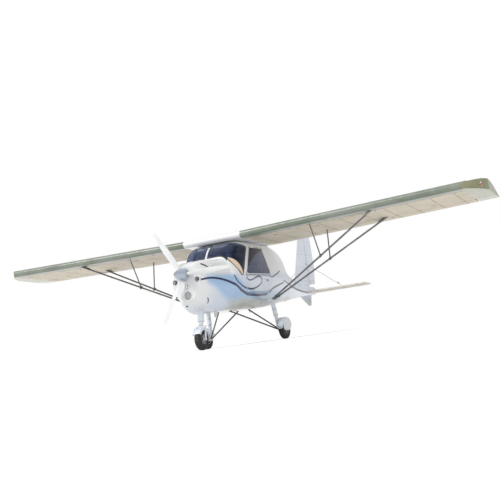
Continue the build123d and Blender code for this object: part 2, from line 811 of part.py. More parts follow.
def spinner_profile(radius, base_y, tip_y):
    """Half outline of the spinner in the side view, to turn about the shaft."""
    bow_y = base_y + SPINNER_BOW_SHARE * (tip_y - base_y)
    bow = ThreePointArc((base_y, radius), (bow_y, SPINNER_BOW_RADIUS_SHARE * radius), (tip_y, 0))
    return bow + Polyline((tip_y, 0), (base_y, 0), (base_y, radius))


def spinner_form(radius, base_y, tip_y):
    plane = Plane(origin=(0, 0, THRUST_Z), x_dir=(0, 1, 0), z_dir=(1, 0, 0))
    shape = plane * make_face(spinner_profile(radius, base_y, tip_y))
    return revolve(shape, axis=Axis((0, 0, THRUST_Z), (0, 1, 0)))


def make_spinner():
    base = SPINNER_BASE_Y - FIT
    outer = spinner_form(SPINNER_RADIUS, base, SPINNER_TIP_Y)
    inner = spinner_form(SPINNER_RADIUS - SPINNER_WALL, base, SPINNER_TIP_Y + SPINNER_WALL)
    spinner = outer - inner
    middle = HUB_REAR_Y - HUB_LENGTH / 2
    for number in range(BLADE_COUNT):
        angle = BLADE_START_ANGLE + number * 360 / BLADE_COUNT
        hole = rod((0, 0, HUB_RADIUS), (0, 0, SPINNER_RADIUS + OVERRUN),
                   BLADE_HOLE_RADIUS)
        spinner -= Pos(0, middle, THRUST_Z) * Rot(0, angle, 0) * hole
    return spinner


# Wheels and main gear

def turned(points, x, y, z):
    """Solid turned about the wheel's axle from an outline of (across, radius)."""
    plane = Plane(origin=(x, y, z), x_dir=(1, 0, 0), z_dir=(0, -1, 0))
    return revolve(plane * make_face(points), axis=Axis((x, y, z), (1, 0, 0)))


def make_tyre(x, y):
    half = TYRE_WIDTH / 2
    bead = TYRE_BEAD_SHARE * half
    side = TYRE_BEAD_RADIUS + TYRE_SIDE_SHARE * (TYRE_RADIUS - TYRE_BEAD_RADIUS)
    tread = (TREAD_SHARE * half, TREAD_RADIUS_SHARE * TYRE_RADIUS)
    other_tread = (-tread[0], tread[1])
    outline = ThreePointArc((-bead, TYRE_BEAD_RADIUS), (-half, side), other_tread)
    outline += ThreePointArc(other_tread, (0, TYRE_RADIUS), tread)
    outline += ThreePointArc(tread, (half, side), (bead, TYRE_BEAD_RADIUS))
    outline += Line((bead, TYRE_BEAD_RADIUS), (-bead, TYRE_BEAD_RADIUS))
    return turned(outline, x, y, TYRE_RADIUS)


def make_rim(x, y):
    """Wheel with a flanged barrel, a thin web and a bored hub."""
    half = RIM_WIDTH / 2
    well = RIM_RADIUS - RIM_WALL
    bore = AXLE_RADIUS + FIT
    outline = Polyline((-half, bore), (half, bore), (half, HUB_OUTER), (RIM_WEB / 2, HUB_OUTER),
                       (RIM_WEB / 2, well), (half, well), (half, RIM_RADIUS), (-half, RIM_RADIUS),
                       (-half, well), (-RIM_WEB / 2, well), (-RIM_WEB / 2, HUB_OUTER),
                       (-half, HUB_OUTER), (-half, bore))
    return turned(outline, x, y, TYRE_RADIUS)


def fitting(side):
    """Block on the end of the cross tube that holds the leg and both struts."""
    x = side * LEG_TOP_X
    block = Pos(x, LEG_TOP_Y, LEG_TOP_Z) * Box(2 * FITTING_HALF_X, 2 * FITTING_HALF_Y,
                                                2 * FITTING_HALF_Z)
    return fillet(block.edges().filter_by(Axis.X), FITTING_ROUND)


def cross_tube(radius):
    return rod((-LEG_TOP_X, LEG_TOP_Y, LEG_TOP_Z), (LEG_TOP_X, LEG_TOP_Y, LEG_TOP_Z), radius)


def make_cross_tube():
    return cross_tube(CROSS_TUBE_RADIUS) + fitting(1) + fitting(-1)


def make_leg():
    """Left main leg: sleeve, slider, lug and axle."""
    top = Vector(LEG_TOP_X, LEG_TOP_Y, LEG_TOP_Z)
    low = Vector(LUG_X - LUG_THICK / 2, MAIN_WHEEL_Y, TYRE_RADIUS)
    along = (low - top).normalized()
    foot = low - along * LUG_RADIUS
    ring = top + (low - top) * LEG_SLEEVE_SHARE
    leg = rod(tuple(top), tuple(ring), LEG_RADIUS)
    leg += rod(tuple(ring - along * LEG_RING_LENGTH), tuple(ring), LEG_RADIUS + LEG_RING_STEP)
    leg += rod(tuple(ring), tuple(foot), LEG_LOWER_RADIUS)
    leg -= box((LUG_X - LUG_THICK, MAIN_WHEEL_Y - BODY_HEIGHT, 0),
               (LUG_X + BODY_HEIGHT, MAIN_WHEEL_Y + BODY_HEIGHT, TYRE_RADIUS + LUG_RADIUS))
    leg += rod((LUG_X - LUG_THICK, MAIN_WHEEL_Y, TYRE_RADIUS),
               (LUG_X, MAIN_WHEEL_Y, TYRE_RADIUS), LUG_RADIUS)
    leg += box((LUG_X - LUG_THICK, MAIN_WHEEL_Y - LUG_RADIUS, TYRE_RADIUS),
               (LUG_X, MAIN_WHEEL_Y + LUG_RADIUS, TYRE_RADIUS + LUG_HEIGHT))
    leg -= box((LUG_X, MAIN_WHEEL_Y - BODY_HEIGHT, 0),
               (LUG_X + BODY_HEIGHT, MAIN_WHEEL_Y + BODY_HEIGHT, LEG_TOP_Z - BODY_HEIGHT / 4))
    leg += rod((LUG_X - LUG_THICK, MAIN_WHEEL_Y, TYRE_RADIUS),
               (AXLE_END_X, MAIN_WHEEL_Y, TYRE_RADIUS), AXLE_RADIUS)
    nut = WHEEL_X + RIM_WIDTH / 2 + FIT
    leg += rod((nut, MAIN_WHEEL_Y, TYRE_RADIUS), (nut + NUT_THICK, MAIN_WHEEL_Y, TYRE_RADIUS),
               NUT_RADIUS)
    return largest(leg - fitting(1))


def make_drag_tube(belly_y, y_step, leg):
    """Left drag tube from the belly to the lug of the main leg."""
    start = (DRAG_X, belly_y, BELLY_Z + DRAG_SINK)
    end = (LUG_X - LUG_THICK / 2, MAIN_WHEEL_Y + y_step, TYRE_RADIUS)
    tube = rod(start, end, DRAG_RADIUS)
    return largest(tube - CABIN_OUTER - leg)


def spat_section(y, share, wall):
    half = (WHEEL_X - LUG_X - FIT) * share - wall
    high = (SPAT_TOP_Z - SPAT_LOW_Z) / 2 * share - wall
    middle = (SPAT_TOP_Z + SPAT_LOW_Z) / 2
    plane = Plane(origin=(WHEEL_X, y, middle), x_dir=(1, 0, 0), z_dir=(0, -1, 0))
    return plane * RectangleRounded(2 * half, 2 * high, SPAT_ROUND_SHARE * half)


def make_spat():
    """Left wheel spat: a hollow drop, open below."""
    length = SPAT_TAIL_Y - SPAT_FRONT_Y
    outer = loft([spat_section(SPAT_FRONT_Y + place * length, share, 0)
                  for place, share in SPAT_SHARES])
    inner = loft([spat_section(SPAT_FRONT_Y + SPAT_WALL + place * (length - 2 * SPAT_WALL),
                               share, SPAT_WALL * (share > SPAT_SHARES[0][1]))
                  for place, share in SPAT_SHARES])
    spat = outer - inner
    reach = 2 * SPAT_TOP_Z
    spat -= box((WHEEL_X - reach, SPAT_FRONT_Y - reach, 0),
                (WHEEL_X + reach, SPAT_TAIL_Y + reach, SPAT_LOW_Z + SPAT_MOUTH))
    well = TYRE_WIDTH / 2 + SPAT_CLEAR
    spat -= rod((WHEEL_X - well, MAIN_WHEEL_Y, TYRE_RADIUS),
                (WHEEL_X + well, MAIN_WHEEL_Y, TYRE_RADIUS), TYRE_RADIUS + SPAT_CLEAR)
    spat -= rod((LUG_X - OVERRUN, MAIN_WHEEL_Y, TYRE_RADIUS),
                (WHEEL_X, MAIN_WHEEL_Y, TYRE_RADIUS), AXLE_RADIUS + FIT)
    return largest(spat)


# Nose gear

def leg_axis_point(z):
    """Point on the raked steering axis at a height."""
    lean = (NOSE_WHEEL_Y - NOSE_LEG_TOP_Y) / (NOSE_LEG_TOP_Z - TYRE_RADIUS)
    return (0, NOSE_LEG_TOP_Y + lean * (NOSE_LEG_TOP_Z - z), z)


def nose_leg_bar(radius):
    return rod(leg_axis_point(NOSE_LEG_TOP_Z), leg_axis_point(NOSE_LEG_LOW_Z), radius)


def make_nose_leg():
    """Fixed upper leg, bored for the slider, held to the firewall by two tubes."""
    leg = nose_leg_bar(NOSE_LEG_RADIUS)
    ring_top = leg_axis_point(NOSE_LEG_LOW_Z + NOSE_RING_LENGTH)
    leg += rod(ring_top, leg_axis_point(NOSE_LEG_LOW_Z), NOSE_LEG_RADIUS + LEG_RING_STEP)
    for side in (1, -1):
        start = leg_axis_point(NOSE_LEG_TOP_Z - NOSE_LEG_RADIUS)
        end = (side * NOSE_STAY_X, FIREWALL_Y + FIREWALL_THICK / 2, NOSE_STAY_Z)
        leg += rod(start, end, MOUNT_TUBE_RADIUS)
    leg -= rod(leg_axis_point(NOSE_SLIDER_TOP_Z + FIT),
               leg_axis_point(NOSE_LEG_LOW_Z - NOSE_LEG_RADIUS), NOSE_SLIDER_RADIUS + FIT)
    return largest(leg - make_firewall())


def make_fork():
    """Slider, crown, two blades and the axle."""
    fork = rod(leg_axis_point(NOSE_SLIDER_TOP_Z), leg_axis_point(NOSE_CROWN_Z),
               NOSE_SLIDER_RADIUS)
    crown = leg_axis_point(NOSE_CROWN_Z)
    half = NOSE_FORK_HALF + FORK_BLADE_THICK
    fork += Pos(*crown) * Box(2 * half, FORK_BLADE_WIDTH, NOSE_CROWN_THICK)
    for side in (1, -1):
        x = side * (NOSE_FORK_HALF + FORK_BLADE_THICK / 2)
        plane = Plane(origin=(x - FORK_BLADE_THICK / 2, 0, 0), x_dir=(0, 1, 0), z_dir=(1, 0, 0))
        half_width = FORK_BLADE_WIDTH / 2
        outline = Polyline((crown[1] - half_width, crown[2]), (crown[1] + half_width, crown[2]),
                           (NOSE_WHEEL_Y + half_width, TYRE_RADIUS),
                           (NOSE_WHEEL_Y - half_width, TYRE_RADIUS), close=True)
        fork += extrude(plane * make_face(outline), amount=FORK_BLADE_THICK)
        fork += rod((x - FORK_BLADE_THICK / 2, NOSE_WHEEL_Y, TYRE_RADIUS),
                    (x + FORK_BLADE_THICK / 2, NOSE_WHEEL_Y, TYRE_RADIUS), half_width)
    fork += rod((-half - NUT_THICK, NOSE_WHEEL_Y, TYRE_RADIUS),
                (half + NUT_THICK, NOSE_WHEEL_Y, TYRE_RADIUS), AXLE_RADIUS)
    return fork


def make_nose_guard():
    """Mudguard over the nose tyre, carried between the fork blades."""
    half = NOSE_FORK_HALF - FIT
    inner = GUARD_RADIUS
    outer = GUARD_RADIUS + GUARD_WALL
    side = GUARD_RADIUS - GUARD_SKIRT
    outline = Polyline((-half, side), (-half, outer), (half, outer), (half, side),
                       (half - GUARD_WALL, side), (half - GUARD_WALL, inner),
                       (-half + GUARD_WALL, inner), (-half + GUARD_WALL, side), (-half, side))
    plane = Plane(origin=(0, NOSE_WHEEL_Y, TYRE_RADIUS), x_dir=(1, 0, 0), z_dir=(0, -1, 0))
    axis = Axis((0, NOSE_WHEEL_Y, TYRE_RADIUS), (1, 0, 0))
    band = revolve(plane * make_face(outline), axis=axis, revolution_arc=GUARD_ARC)
    band = band.rotate(axis, GUARD_START)
    return band - make_fork()


# Tail

def lens(chord_start, chord_end, thick, z):
    """Symmetric section in plan, its chord along Y, at a height."""
    widest = chord_start + LENS_CREST_SHARE * (chord_end - chord_start)
    end = TAIL_EDGE_SHARE * thick
    right = ThreePointArc((0, chord_start), (thick / 2, widest), (end, chord_end))
    left = ThreePointArc((-end, chord_end), (-thick / 2, widest), (0, chord_start))
    back = Line((end, chord_end), (-end, chord_end))
    return Pos(0, 0, z) * make_face(right + back + left)


def make_fin():
    rear = TAIL_HINGE_Y - RUDDER_THICK / 2 - TAIL_GAP
    fin = loft([lens(FIN_ROOT_Y, rear, FIN_THICK, FIN_ROOT_Z),
                lens(FIN_TOP_Y, rear, FIN_TOP_THICK, RUDDER_TOP_Z)])
    fin = largest(fin - TAIL_CONE)
    for z in (RUDDER_LOW_Z - TAIL_GAP - TAIL_PLATE, RUDDER_TOP_Z + TAIL_GAP):
        plate = box((-RUDDER_THICK / 4, rear - TAIL_PLATE_REACH, z),
                    (RUDDER_THICK / 4, TAIL_HINGE_Y, z + TAIL_PLATE))
        plate += rod((0, TAIL_HINGE_Y, z), (0, TAIL_HINGE_Y, z + TAIL_PLATE), RUDDER_THICK / 4)
        fin += plate
    fin += box((-FIN_TOP_THICK * TAIL_EDGE_SHARE, rear - TAIL_PLATE_REACH, RUDDER_TOP_Z),
               (FIN_TOP_THICK * TAIL_EDGE_SHARE, rear, RUDDER_TOP_Z + TAIL_GAP + TAIL_PLATE))
    fin += rod((0, TAIL_HINGE_Y, RUDDER_LOW_Z - TAIL_GAP - TAIL_PLATE),
               (0, TAIL_HINGE_Y, RUDDER_LOW_Z + TAIL_PIN_LENGTH), TAIL_PIN_RADIUS)
    fin += rod((0, TAIL_HINGE_Y, RUDDER_TOP_Z - TAIL_PIN_LENGTH),
               (0, TAIL_HINGE_Y, RUDDER_TOP_Z + TAIL_GAP + TAIL_PLATE), TAIL_PIN_RADIUS)
    return largest(fin - TAIL_CONE)


def rudder_section(tail_y, thick, z):
    half = thick / 2
    end = TAIL_EDGE_SHARE * thick
    nose = ThreePointArc((half, TAIL_HINGE_Y), (0, TAIL_HINGE_Y - half), (-half, TAIL_HINGE_Y))
    back = Polyline((-half, TAIL_HINGE_Y), (-end, tail_y), (end, tail_y), (half, TAIL_HINGE_Y))
    return Pos(0, 0, z) * make_face(nose + back)


def make_rudder():
    middle_z = RUDDER_LOW_Z + RUDDER_WIDE_SHARE * (RUDDER_TOP_Z - RUDDER_LOW_Z)
    low = loft([rudder_section(RUDDER_LOW_Y, RUDDER_THICK, RUDDER_LOW_Z),
                rudder_section(RUDDER_TIP_Y, RUDDER_THICK, middle_z)], ruled=True)
    high = loft([rudder_section(RUDDER_TIP_Y, RUDDER_THICK, middle_z),
                 rudder_section(RUDDER_TOP_Y, FIN_TOP_THICK, RUDDER_TOP_Z)], ruled=True)
    rudder = low + high
    bore = TAIL_PIN_RADIUS + FIT
    rudder -= rod((0, TAIL_HINGE_Y, RUDDER_LOW_Z - OVERRUN),
                  (0, TAIL_HINGE_Y, RUDDER_LOW_Z + TAIL_PIN_LENGTH + FIT), bore)
    rudder -= rod((0, TAIL_HINGE_Y, RUDDER_TOP_Z - TAIL_PIN_LENGTH - FIT),
                  (0, TAIL_HINGE_Y, RUDDER_TOP_Z + OVERRUN), bore)
    return rudder


def tail_plane(x):
    """Section plane of the stabilizer at span station x, chord along its x."""
    return Plane(origin=(x, 0, STAB_Z), x_dir=(0, 1, 0), z_dir=(1, 0, 0))


def stab_section(x, front_y, thick):
    rear = STAB_HINGE_Y - STAB_THICK / 2 - TAIL_GAP
    half = thick / 2
    widest = front_y + LENS_CREST_SHARE * (rear - front_y)
    end = STAB_THICK * STAB_END_SHARE
    top = ThreePointArc((front_y, 0), (widest, half), (rear, end))
    low = ThreePointArc((rear, -end), (widest, -half), (front_y, 0))
    return tail_plane(x) * make_face(top + Line((rear, end), (rear, -end)) + low)


def make_stabilizer():
    """Left half of the fixed tailplane with its two hinge plates."""
    half = loft([stab_section(0, STAB_ROOT_LE_Y, STAB_THICK),
                 stab_section(STAB_HALF_SPAN, STAB_TIP_LE_Y, STAB_THICK)])
    rear = STAB_HINGE_Y - STAB_THICK / 2 - TAIL_GAP
    for x, inner in ((ELEVATOR_INNER_X - TAIL_GAP - TAIL_PLATE, False),
                     (STAB_HALF_SPAN - TAIL_PLATE, True)):
        plate = box((x, rear - TAIL_PLATE, STAB_Z - TORQUE_RADIUS),
                    (x + TAIL_PLATE, STAB_HINGE_Y, STAB_Z + TORQUE_RADIUS))
        plate += rod((x, STAB_HINGE_Y, STAB_Z), (x + TAIL_PLATE, STAB_HINGE_Y, STAB_Z),
                     TORQUE_RADIUS + TAIL_EYE_WALL)
        half += plate
    half -= rod((0, STAB_HINGE_Y, STAB_Z), (ELEVATOR_INNER_X, STAB_HINGE_Y, STAB_Z),
                TORQUE_RADIUS + FIT)
    half += rod((STAB_HALF_SPAN - TAIL_PLATE - TAIL_PIN_LENGTH, STAB_HINGE_Y, STAB_Z),
                (STAB_HALF_SPAN, STAB_HINGE_Y, STAB_Z), TAIL_PIN_RADIUS)
    return largest(half - TAIL_CONE)


def make_elevator():
    """Both elevator halves joined by a torque tube through the tail cone."""
    half = STAB_THICK / 2
    end = TAIL_EDGE_SHARE * STAB_THICK
    outer_x = STAB_HALF_SPAN - TAIL_PLATE - TAIL_GAP
    nose = ThreePointArc((STAB_HINGE_Y, -half), (STAB_HINGE_Y - half, 0), (STAB_HINGE_Y, half))
    back = Polyline((STAB_HINGE_Y, half), (ELEVATOR_TIP_Y, end), (ELEVATOR_TIP_Y, -end),
                    (STAB_HINGE_Y, -half))
    section = make_face(nose + back)
    left = extrude(tail_plane(ELEVATOR_INNER_X) * section, amount=outer_x - ELEVATOR_INNER_X)
    notch_y = STAB_HINGE_Y + half
    back_y = ELEVATOR_TIP_Y + OVERRUN
    notch = ((0, notch_y), (ELEVATOR_INNER_X, notch_y), (ELEVATOR_CLEAR_X, back_y), (0, back_y))
    left -= plan_prism(notch, STAB_Z - STAB_THICK, STAB_Z + STAB_THICK)
    left -= rod((outer_x - TAIL_PIN_LENGTH - FIT, STAB_HINGE_Y, STAB_Z),
                (STAB_HALF_SPAN, STAB_HINGE_Y, STAB_Z), TAIL_PIN_RADIUS + FIT)
    tube = rod((-ELEVATOR_INNER_X - OVERRUN, STAB_HINGE_Y, STAB_Z),
               (ELEVATOR_INNER_X + OVERRUN, STAB_HINGE_Y, STAB_Z), TORQUE_RADIUS)
    return left + mirrored(left) + tube


def make_tail_cone():
    bore = rod((-BODY_HALF_WIDTH, STAB_HINGE_Y, STAB_Z), (BODY_HALF_WIDTH, STAB_HINGE_Y, STAB_Z),
               TORQUE_RADIUS + TAIL_GAP)
    hollow = TAIL_CONE - body_form(TAIL_ROWS, SHELL_WALL)
    return largest(hollow - bore)


def make_ventral_fin():
    half = VENTRAL_THICK / 2
    points = ((VENTRAL_FRONT_Y, STAB_Z), (VENTRAL_TIP_Y, VENTRAL_TIP_Z),
              (VENTRAL_TIP_Y + VENTRAL_TIP_CHORD, VENTRAL_TIP_Z), (TAIL_HINGE_Y, STAB_Z))
    return largest(side_prism(points, VENTRAL_ROUND, -half, half) - TAIL_CONE)


def make_tail_stay(fin, stabilizer):
    stay = rod((0, STAY_Y, STAY_FIN_Z), (STAY_STAB_X, STAY_Y, STAB_Z), STAY_RADIUS)
    return largest(stay - fin - stabilizer)


# Wing struts

def strut_ends(share, y_step):
    low = (STRUT_LOW_X, LEG_TOP_Y + y_step, LEG_TOP_Z)
    high = wing_point(STRUT_UPPER_X, share, 0)
    return low, high


def make_strut(share, y_step, wing):
    low, high = strut_ends(share, y_step)
    strut = streamlined(low, high, STRUT_CHORD, STRUT_THICK)
    return largest(strut - fitting(1) - wing)


def make_jury(share, y_step, strut, wing):
    low, high = strut_ends(share, y_step)
    start = Vector(*low) + vec(low, high) * JURY_SHARE
    end = wing_point(JURY_TOP_X, share, 0)
    return largest(rod(tuple(start), end, JURY_RADIUS) - strut - wing)


# Cabin fittings

def in_cabin(shape):
    """The part of a shape inside the cabin's walls."""
    return shape & CABIN_ROOM


def make_seat():
    """Left seat: box base, cushion and leaning back, standing on the floor."""
    low = SEAT_X - SEAT_HALF_WIDTH
    high = SEAT_X + SEAT_HALF_WIDTH
    points = ((SEAT_FRONT_Y, BELLY_Z - OVERRUN), (SEAT_REAR_Y, BELLY_Z - OVERRUN),
              (SEAT_REAR_Y + SEAT_BACK_LEAN, SEAT_BACK_TOP_Z),
              (SEAT_REAR_Y + SEAT_BACK_LEAN - SEAT_PAD, SEAT_BACK_TOP_Z),
              (SEAT_REAR_Y - SEAT_PAD, SEAT_BASE_Z + SEAT_PAD),
              (SEAT_FRONT_Y, SEAT_BASE_Z + SEAT_PAD))
    seat = side_prism(points, SEAT_CORNER, low, high)
    return largest(in_cabin(seat - cross_tube(CROSS_TUBE_RADIUS + FIT)))


def make_instrument_panel():
    reach = BODY_HALF_WIDTH
    plate = box((-reach, PANEL_Y, PANEL_LOW_Z), (reach, PANEL_Y + PANEL_THICK, PANEL_HIGH_Z))
    return largest(in_cabin(plate))


def make_controls():
    """Console on the floor with the control stick on top."""
    half = CONSOLE_WIDTH / 2
    console = in_cabin(box((-half, CONSOLE_FRONT_Y, 0), (half, SEAT_FRONT_Y, SEAT_BASE_Z)))
    stick = rod((0, STICK_Y, SEAT_BASE_Z), (0, STICK_Y, STICK_TOP_Z), STICK_RADIUS)
    grip = rod((0, STICK_Y, STICK_TOP_Z - GRIP_LENGTH), (0, STICK_Y, STICK_TOP_Z), GRIP_RADIUS)
    return console + stick + grip


def make_frame_tube(x, cabin, windscreen, panel):
    start = (x, PANEL_Y + PANEL_THICK / 2, PANEL_HIGH_Z - PANEL_THICK)
    end = (x, FRAME_TUBE_TOP_Y, body_z(1))
    return largest(rod(start, end, FRAME_TUBE_RADIUS) - cabin - windscreen - panel)


# Small pieces

def make_pitot(wing):
    """Pitot tube under the right wing, on a short post."""
    top = wing_point(PITOT_X, PITOT_SHARE, 0)
    low = (top[0], top[1], top[2] - PITOT_DROP)
    tube = rod((low[0], low[1] - PITOT_LENGTH, low[2]), low, PITOT_RADIUS)
    post = rod(top, low, PITOT_RADIUS)
    return mirrored(largest(tube + post - wing))


def make_antenna():
    top = (0, ANTENNA_Y, BELLY_Z + DRAG_SINK)
    low = (0, ANTENNA_Y + ANTENNA_RAKE, BELLY_Z - ANTENNA_LENGTH / 2)
    return largest(rod(top, low, ANTENNA_RADIUS) - CABIN_OUTER)


def export_pair(name, left):
    export(name + "_left", left)
    export(name + "_right", mirrored(left))


os.makedirs("parts", exist_ok=True)

cabin = make_cabin()
export("cabin_shell", cabin)
windscreen = make_windscreen()
export("windscreen", windscreen)
export("firewall", make_firewall())
export_pair("door", make_door())
export_pair("door_glass", make_door_glass())
export("tail_cone", make_tail_cone())
cowl_upper, cowl_lower = split_cowl(make_cowl())
export("cowl_upper", cowl_upper)
export("cowl_lower", cowl_lower)
export("nose_lamp", make_lamp())
export("engine_block", make_engine())
export("exhaust_pipe", make_exhaust())
export("propeller", make_propeller())
export("spinner", make_spinner())

wing = make_wing()
export_pair("wing", wing)
export("roof_fairing", make_roof_fairing())
export_pair("wing_tip", make_wing_tip())
export_pair("flap", make_surface(WING_ROOT_X + BRACKET_THICK, SPLIT_LOW_X))
export_pair("aileron", make_surface(SPLIT_LOW_X + BRACKET_THICK, TIP_START_X - BRACKET_THICK))
jury_struts = []
for name, share, y_step in (("front", STRUT_FRONT_SHARE, -STRUT_SPREAD / 2),
                            ("rear", STRUT_REAR_SHARE, STRUT_SPREAD / 2)):
    strut = make_strut(share, y_step, wing)
    export_pair("strut_" + name, strut)
    jury_struts.append(make_jury(share, y_step, strut, wing))
export_pair("jury_struts", jury_struts[0] + jury_struts[1])

export("gear_cross_tube", make_cross_tube())
leg = make_leg()
export_pair("main_leg", leg)
export_pair("drag_tube_front", make_drag_tube(DRAG_FRONT_Y, -DRAG_SPREAD, leg))
export_pair("drag_tube_rear", make_drag_tube(DRAG_REAR_Y, DRAG_SPREAD, leg))
export_pair("spat", make_spat())
for name, x, y in (("main_left", WHEEL_X, MAIN_WHEEL_Y), ("main_right", -WHEEL_X, MAIN_WHEEL_Y),
                   ("nose", 0, NOSE_WHEEL_Y)):
    export("tyre_" + name, make_tyre(x, y))
    export("rim_" + name, make_rim(x, y))
export("nose_leg", make_nose_leg())
export("nose_fork", make_fork())
export("nose_mudguard", make_nose_guard())

fin = make_fin()
export("fin", fin)
export("rudder", make_rudder())
stabilizer = make_stabilizer()
export("stabilizer", stabilizer + mirrored(stabilizer))
export("elevator", make_elevator())
export("ventral_fin", make_ventral_fin())
stay = make_tail_stay(fin, stabilizer)
export("tail_stays", stay + mirrored(stay))

seat = make_seat()
export("seats", seat + mirrored(seat))
panel = make_instrument_panel()
export("instrument_panel", panel)
export("controls", make_controls())
tubes = [make_frame_tube(x, cabin, windscreen, panel) for x in (-SIDE_TUBE_X, 0, SIDE_TUBE_X)]
export("cabin_frame", tubes[0] + tubes[1] + tubes[2])
export("pitot_tube", make_pitot(wing))
export("antenna", make_antenna())
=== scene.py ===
import math

import bmesh
import bpy
from mathutils import Matrix, Vector
from mathutils.bvhtree import BVHTree


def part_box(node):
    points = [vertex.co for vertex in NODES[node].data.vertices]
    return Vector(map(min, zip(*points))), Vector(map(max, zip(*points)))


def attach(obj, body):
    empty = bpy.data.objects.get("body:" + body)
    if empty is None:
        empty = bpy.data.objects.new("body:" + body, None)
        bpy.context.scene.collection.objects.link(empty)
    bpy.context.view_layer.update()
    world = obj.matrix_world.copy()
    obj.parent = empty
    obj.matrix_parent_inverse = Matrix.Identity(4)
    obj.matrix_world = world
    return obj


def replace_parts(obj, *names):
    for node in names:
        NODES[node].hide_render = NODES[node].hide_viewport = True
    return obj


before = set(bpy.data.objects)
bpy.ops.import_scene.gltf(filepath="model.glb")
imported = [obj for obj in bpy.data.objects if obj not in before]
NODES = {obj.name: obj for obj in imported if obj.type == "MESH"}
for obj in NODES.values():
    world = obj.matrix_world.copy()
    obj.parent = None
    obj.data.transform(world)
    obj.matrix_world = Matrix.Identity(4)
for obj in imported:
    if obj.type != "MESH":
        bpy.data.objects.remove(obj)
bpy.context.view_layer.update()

SIDES = (("left", 1.0), ("right", -1.0))
FAR = 3.0          # where a ray starts, from the spot it looks for
ON_AXIS = 1e-5     # radius that closes a turned form

# Places and sizes of the frame, in metres
CHORD = 1.400
WING_FRONT = -1.675
WING_HEIGHT = 1.860
WING_ROOT = 0.560
WING_END = 4.385
DIHEDRAL = math.radians(1.2)
INCIDENCE = math.radians(4.5)
NOSE_BAND_SHARE = 0.15
RIB_PITCH = 0.385
RIB_START = 0.76
SURFACE_SPLIT = 2.960
THRUST = 1.250
COWL_SPLIT = 1.215
INTAKE_HEIGHT = 0.905
INLET = (0.205, 1.150)
SEAT_X = 0.270
STICK = (0.0, -1.420)
MAIN_WHEEL = (0.790, -0.844)
NOSE_WHEEL_Y = -2.463
TYRE_RADIUS = 0.178

# Trim that repeats
TAPE_WIDTH = 0.026
TAIL_TAPE_WIDTH = 0.020
TAPE_HEIGHT = 0.0009
SCREW_RADIUS = 0.0045
THREAD_PITCH = 0.0022
SEAM_WIDTH = 0.003
STRAP_HALF = 0.022
STRAP_THICK = 0.0025

X_AXIS = Vector((1, 0, 0))
Y_AXIS = Vector((0, 1, 0))
Z_AXIS = Vector((0, 0, 1))


# ---- materials
class Look:
    def __init__(self, name, metallic=0.0, coat=0.0, sheen=0.0, ior=1.5, clear=0.0):
        self.mat = bpy.data.materials.new(name)
        self.mat.use_nodes = True
        self.tree = self.mat.node_tree
        self.shader = self.tree.nodes["Principled BSDF"]
        for key, value in (("Metallic", metallic), ("Coat Weight", coat), ("Coat Roughness", 0.08),
                           ("Sheen Weight", sheen), ("IOR", ior), ("Transmission Weight", clear)):
            self.shader.inputs[key].default_value = value
        self.place = self.node("TexCoord").outputs["Object"]
        self.x, self.y, self.z = self.node("SeparateXYZ", Vector=self.place).outputs

    def put(self, socket, value):
        if isinstance(value, bpy.types.NodeSocket):
            self.tree.links.new(value, socket)
        else:
            socket.default_value = value

    def node(self, kind, **inputs):
        """A new node, with its inputs set or joined by name."""
        node = self.tree.nodes.new("ShaderNode" + kind)
        for key, value in inputs.items():
            self.put(node.inputs[key.replace("_", " ")], value)
        return node

    def math(self, what, a, b=0.0):
        node = self.node("Math")
        node.operation = what
        self.put(node.inputs[0], a)
        self.put(node.inputs[1], b)
        return node.outputs[0]

    def times(self, value, *others):
        for other in others:
            value = self.math("MULTIPLY", value, other)
        return value

    def less(self, a, b):
        return self.math("SUBTRACT", a, b)

    def span(self, value, low, high, start=0.0, end=1.0):
        """start below low, end above high, and smooth between them."""
        node = self.node("MapRange", Value=value, From_Min=low, From_Max=high, To_Min=start, To_Max=end)
        node.interpolation_type = "SMOOTHSTEP"
        return node.outputs[0]

    def mix(self, share, a, b):
        node = self.node("Mix")
        node.data_type = "RGBA"
        for number, value in ((0, share), (6, a), (7, b)):
            self.put(node.inputs[number], (*value, 1) if isinstance(value, tuple) else value)
        return node.outputs[2]

    def noise(self, scale, detail=4.0, stretch=None):
        spot = self.node("Mapping", Scale=stretch, Vector=self.place).outputs[0] if stretch else self.place
        return self.node("TexNoise", Scale=scale, Detail=detail, Vector=spot).outputs[0]

    def mottle(self, scale, detail=4.0, low=0.3, high=0.7, start=0.0, end=1.0):
        """Soft spots that run from start to end."""
        return self.span(self.noise(scale, detail), low, high, start, end)

    def weave(self, pitch):
        across, along, up = [self.math("SINE", self.times(way, 2 * math.pi / pitch))
                             for way in (self.x, self.y, self.z)]
        return self.times(self.math("ADD", across, up), along)

    def finish(self, colour, rough, height=None, depth=0.0005, strength=0.3):
        self.put(self.shader.inputs["Base Color"], colour)
        self.put(self.shader.inputs["Roughness"], rough)
        if height is not None:
            bump = self.node("Bump", Strength=strength, Distance=depth, Height=height)
            self.put(self.shader.inputs["Normal"], bump.outputs[0])
        return self.mat


def faded(colour, share):
    return tuple(share * c for c in colour)


def plain(name, colour, second, scale, rough, spread=0.08, depth=0.00012, **shader):
    """Two close colours mottled together, with varied gloss and a fine bump."""
    look = Look(name, **shader)
    fine = look.noise(scale * 14, 6)
    shade = look.mix(look.mottle(scale, 4, 0.35, 0.65), colour, second)
    return look.finish(shade, look.span(fine, 0.25, 0.75, rough - spread, rough + spread), fine, depth)


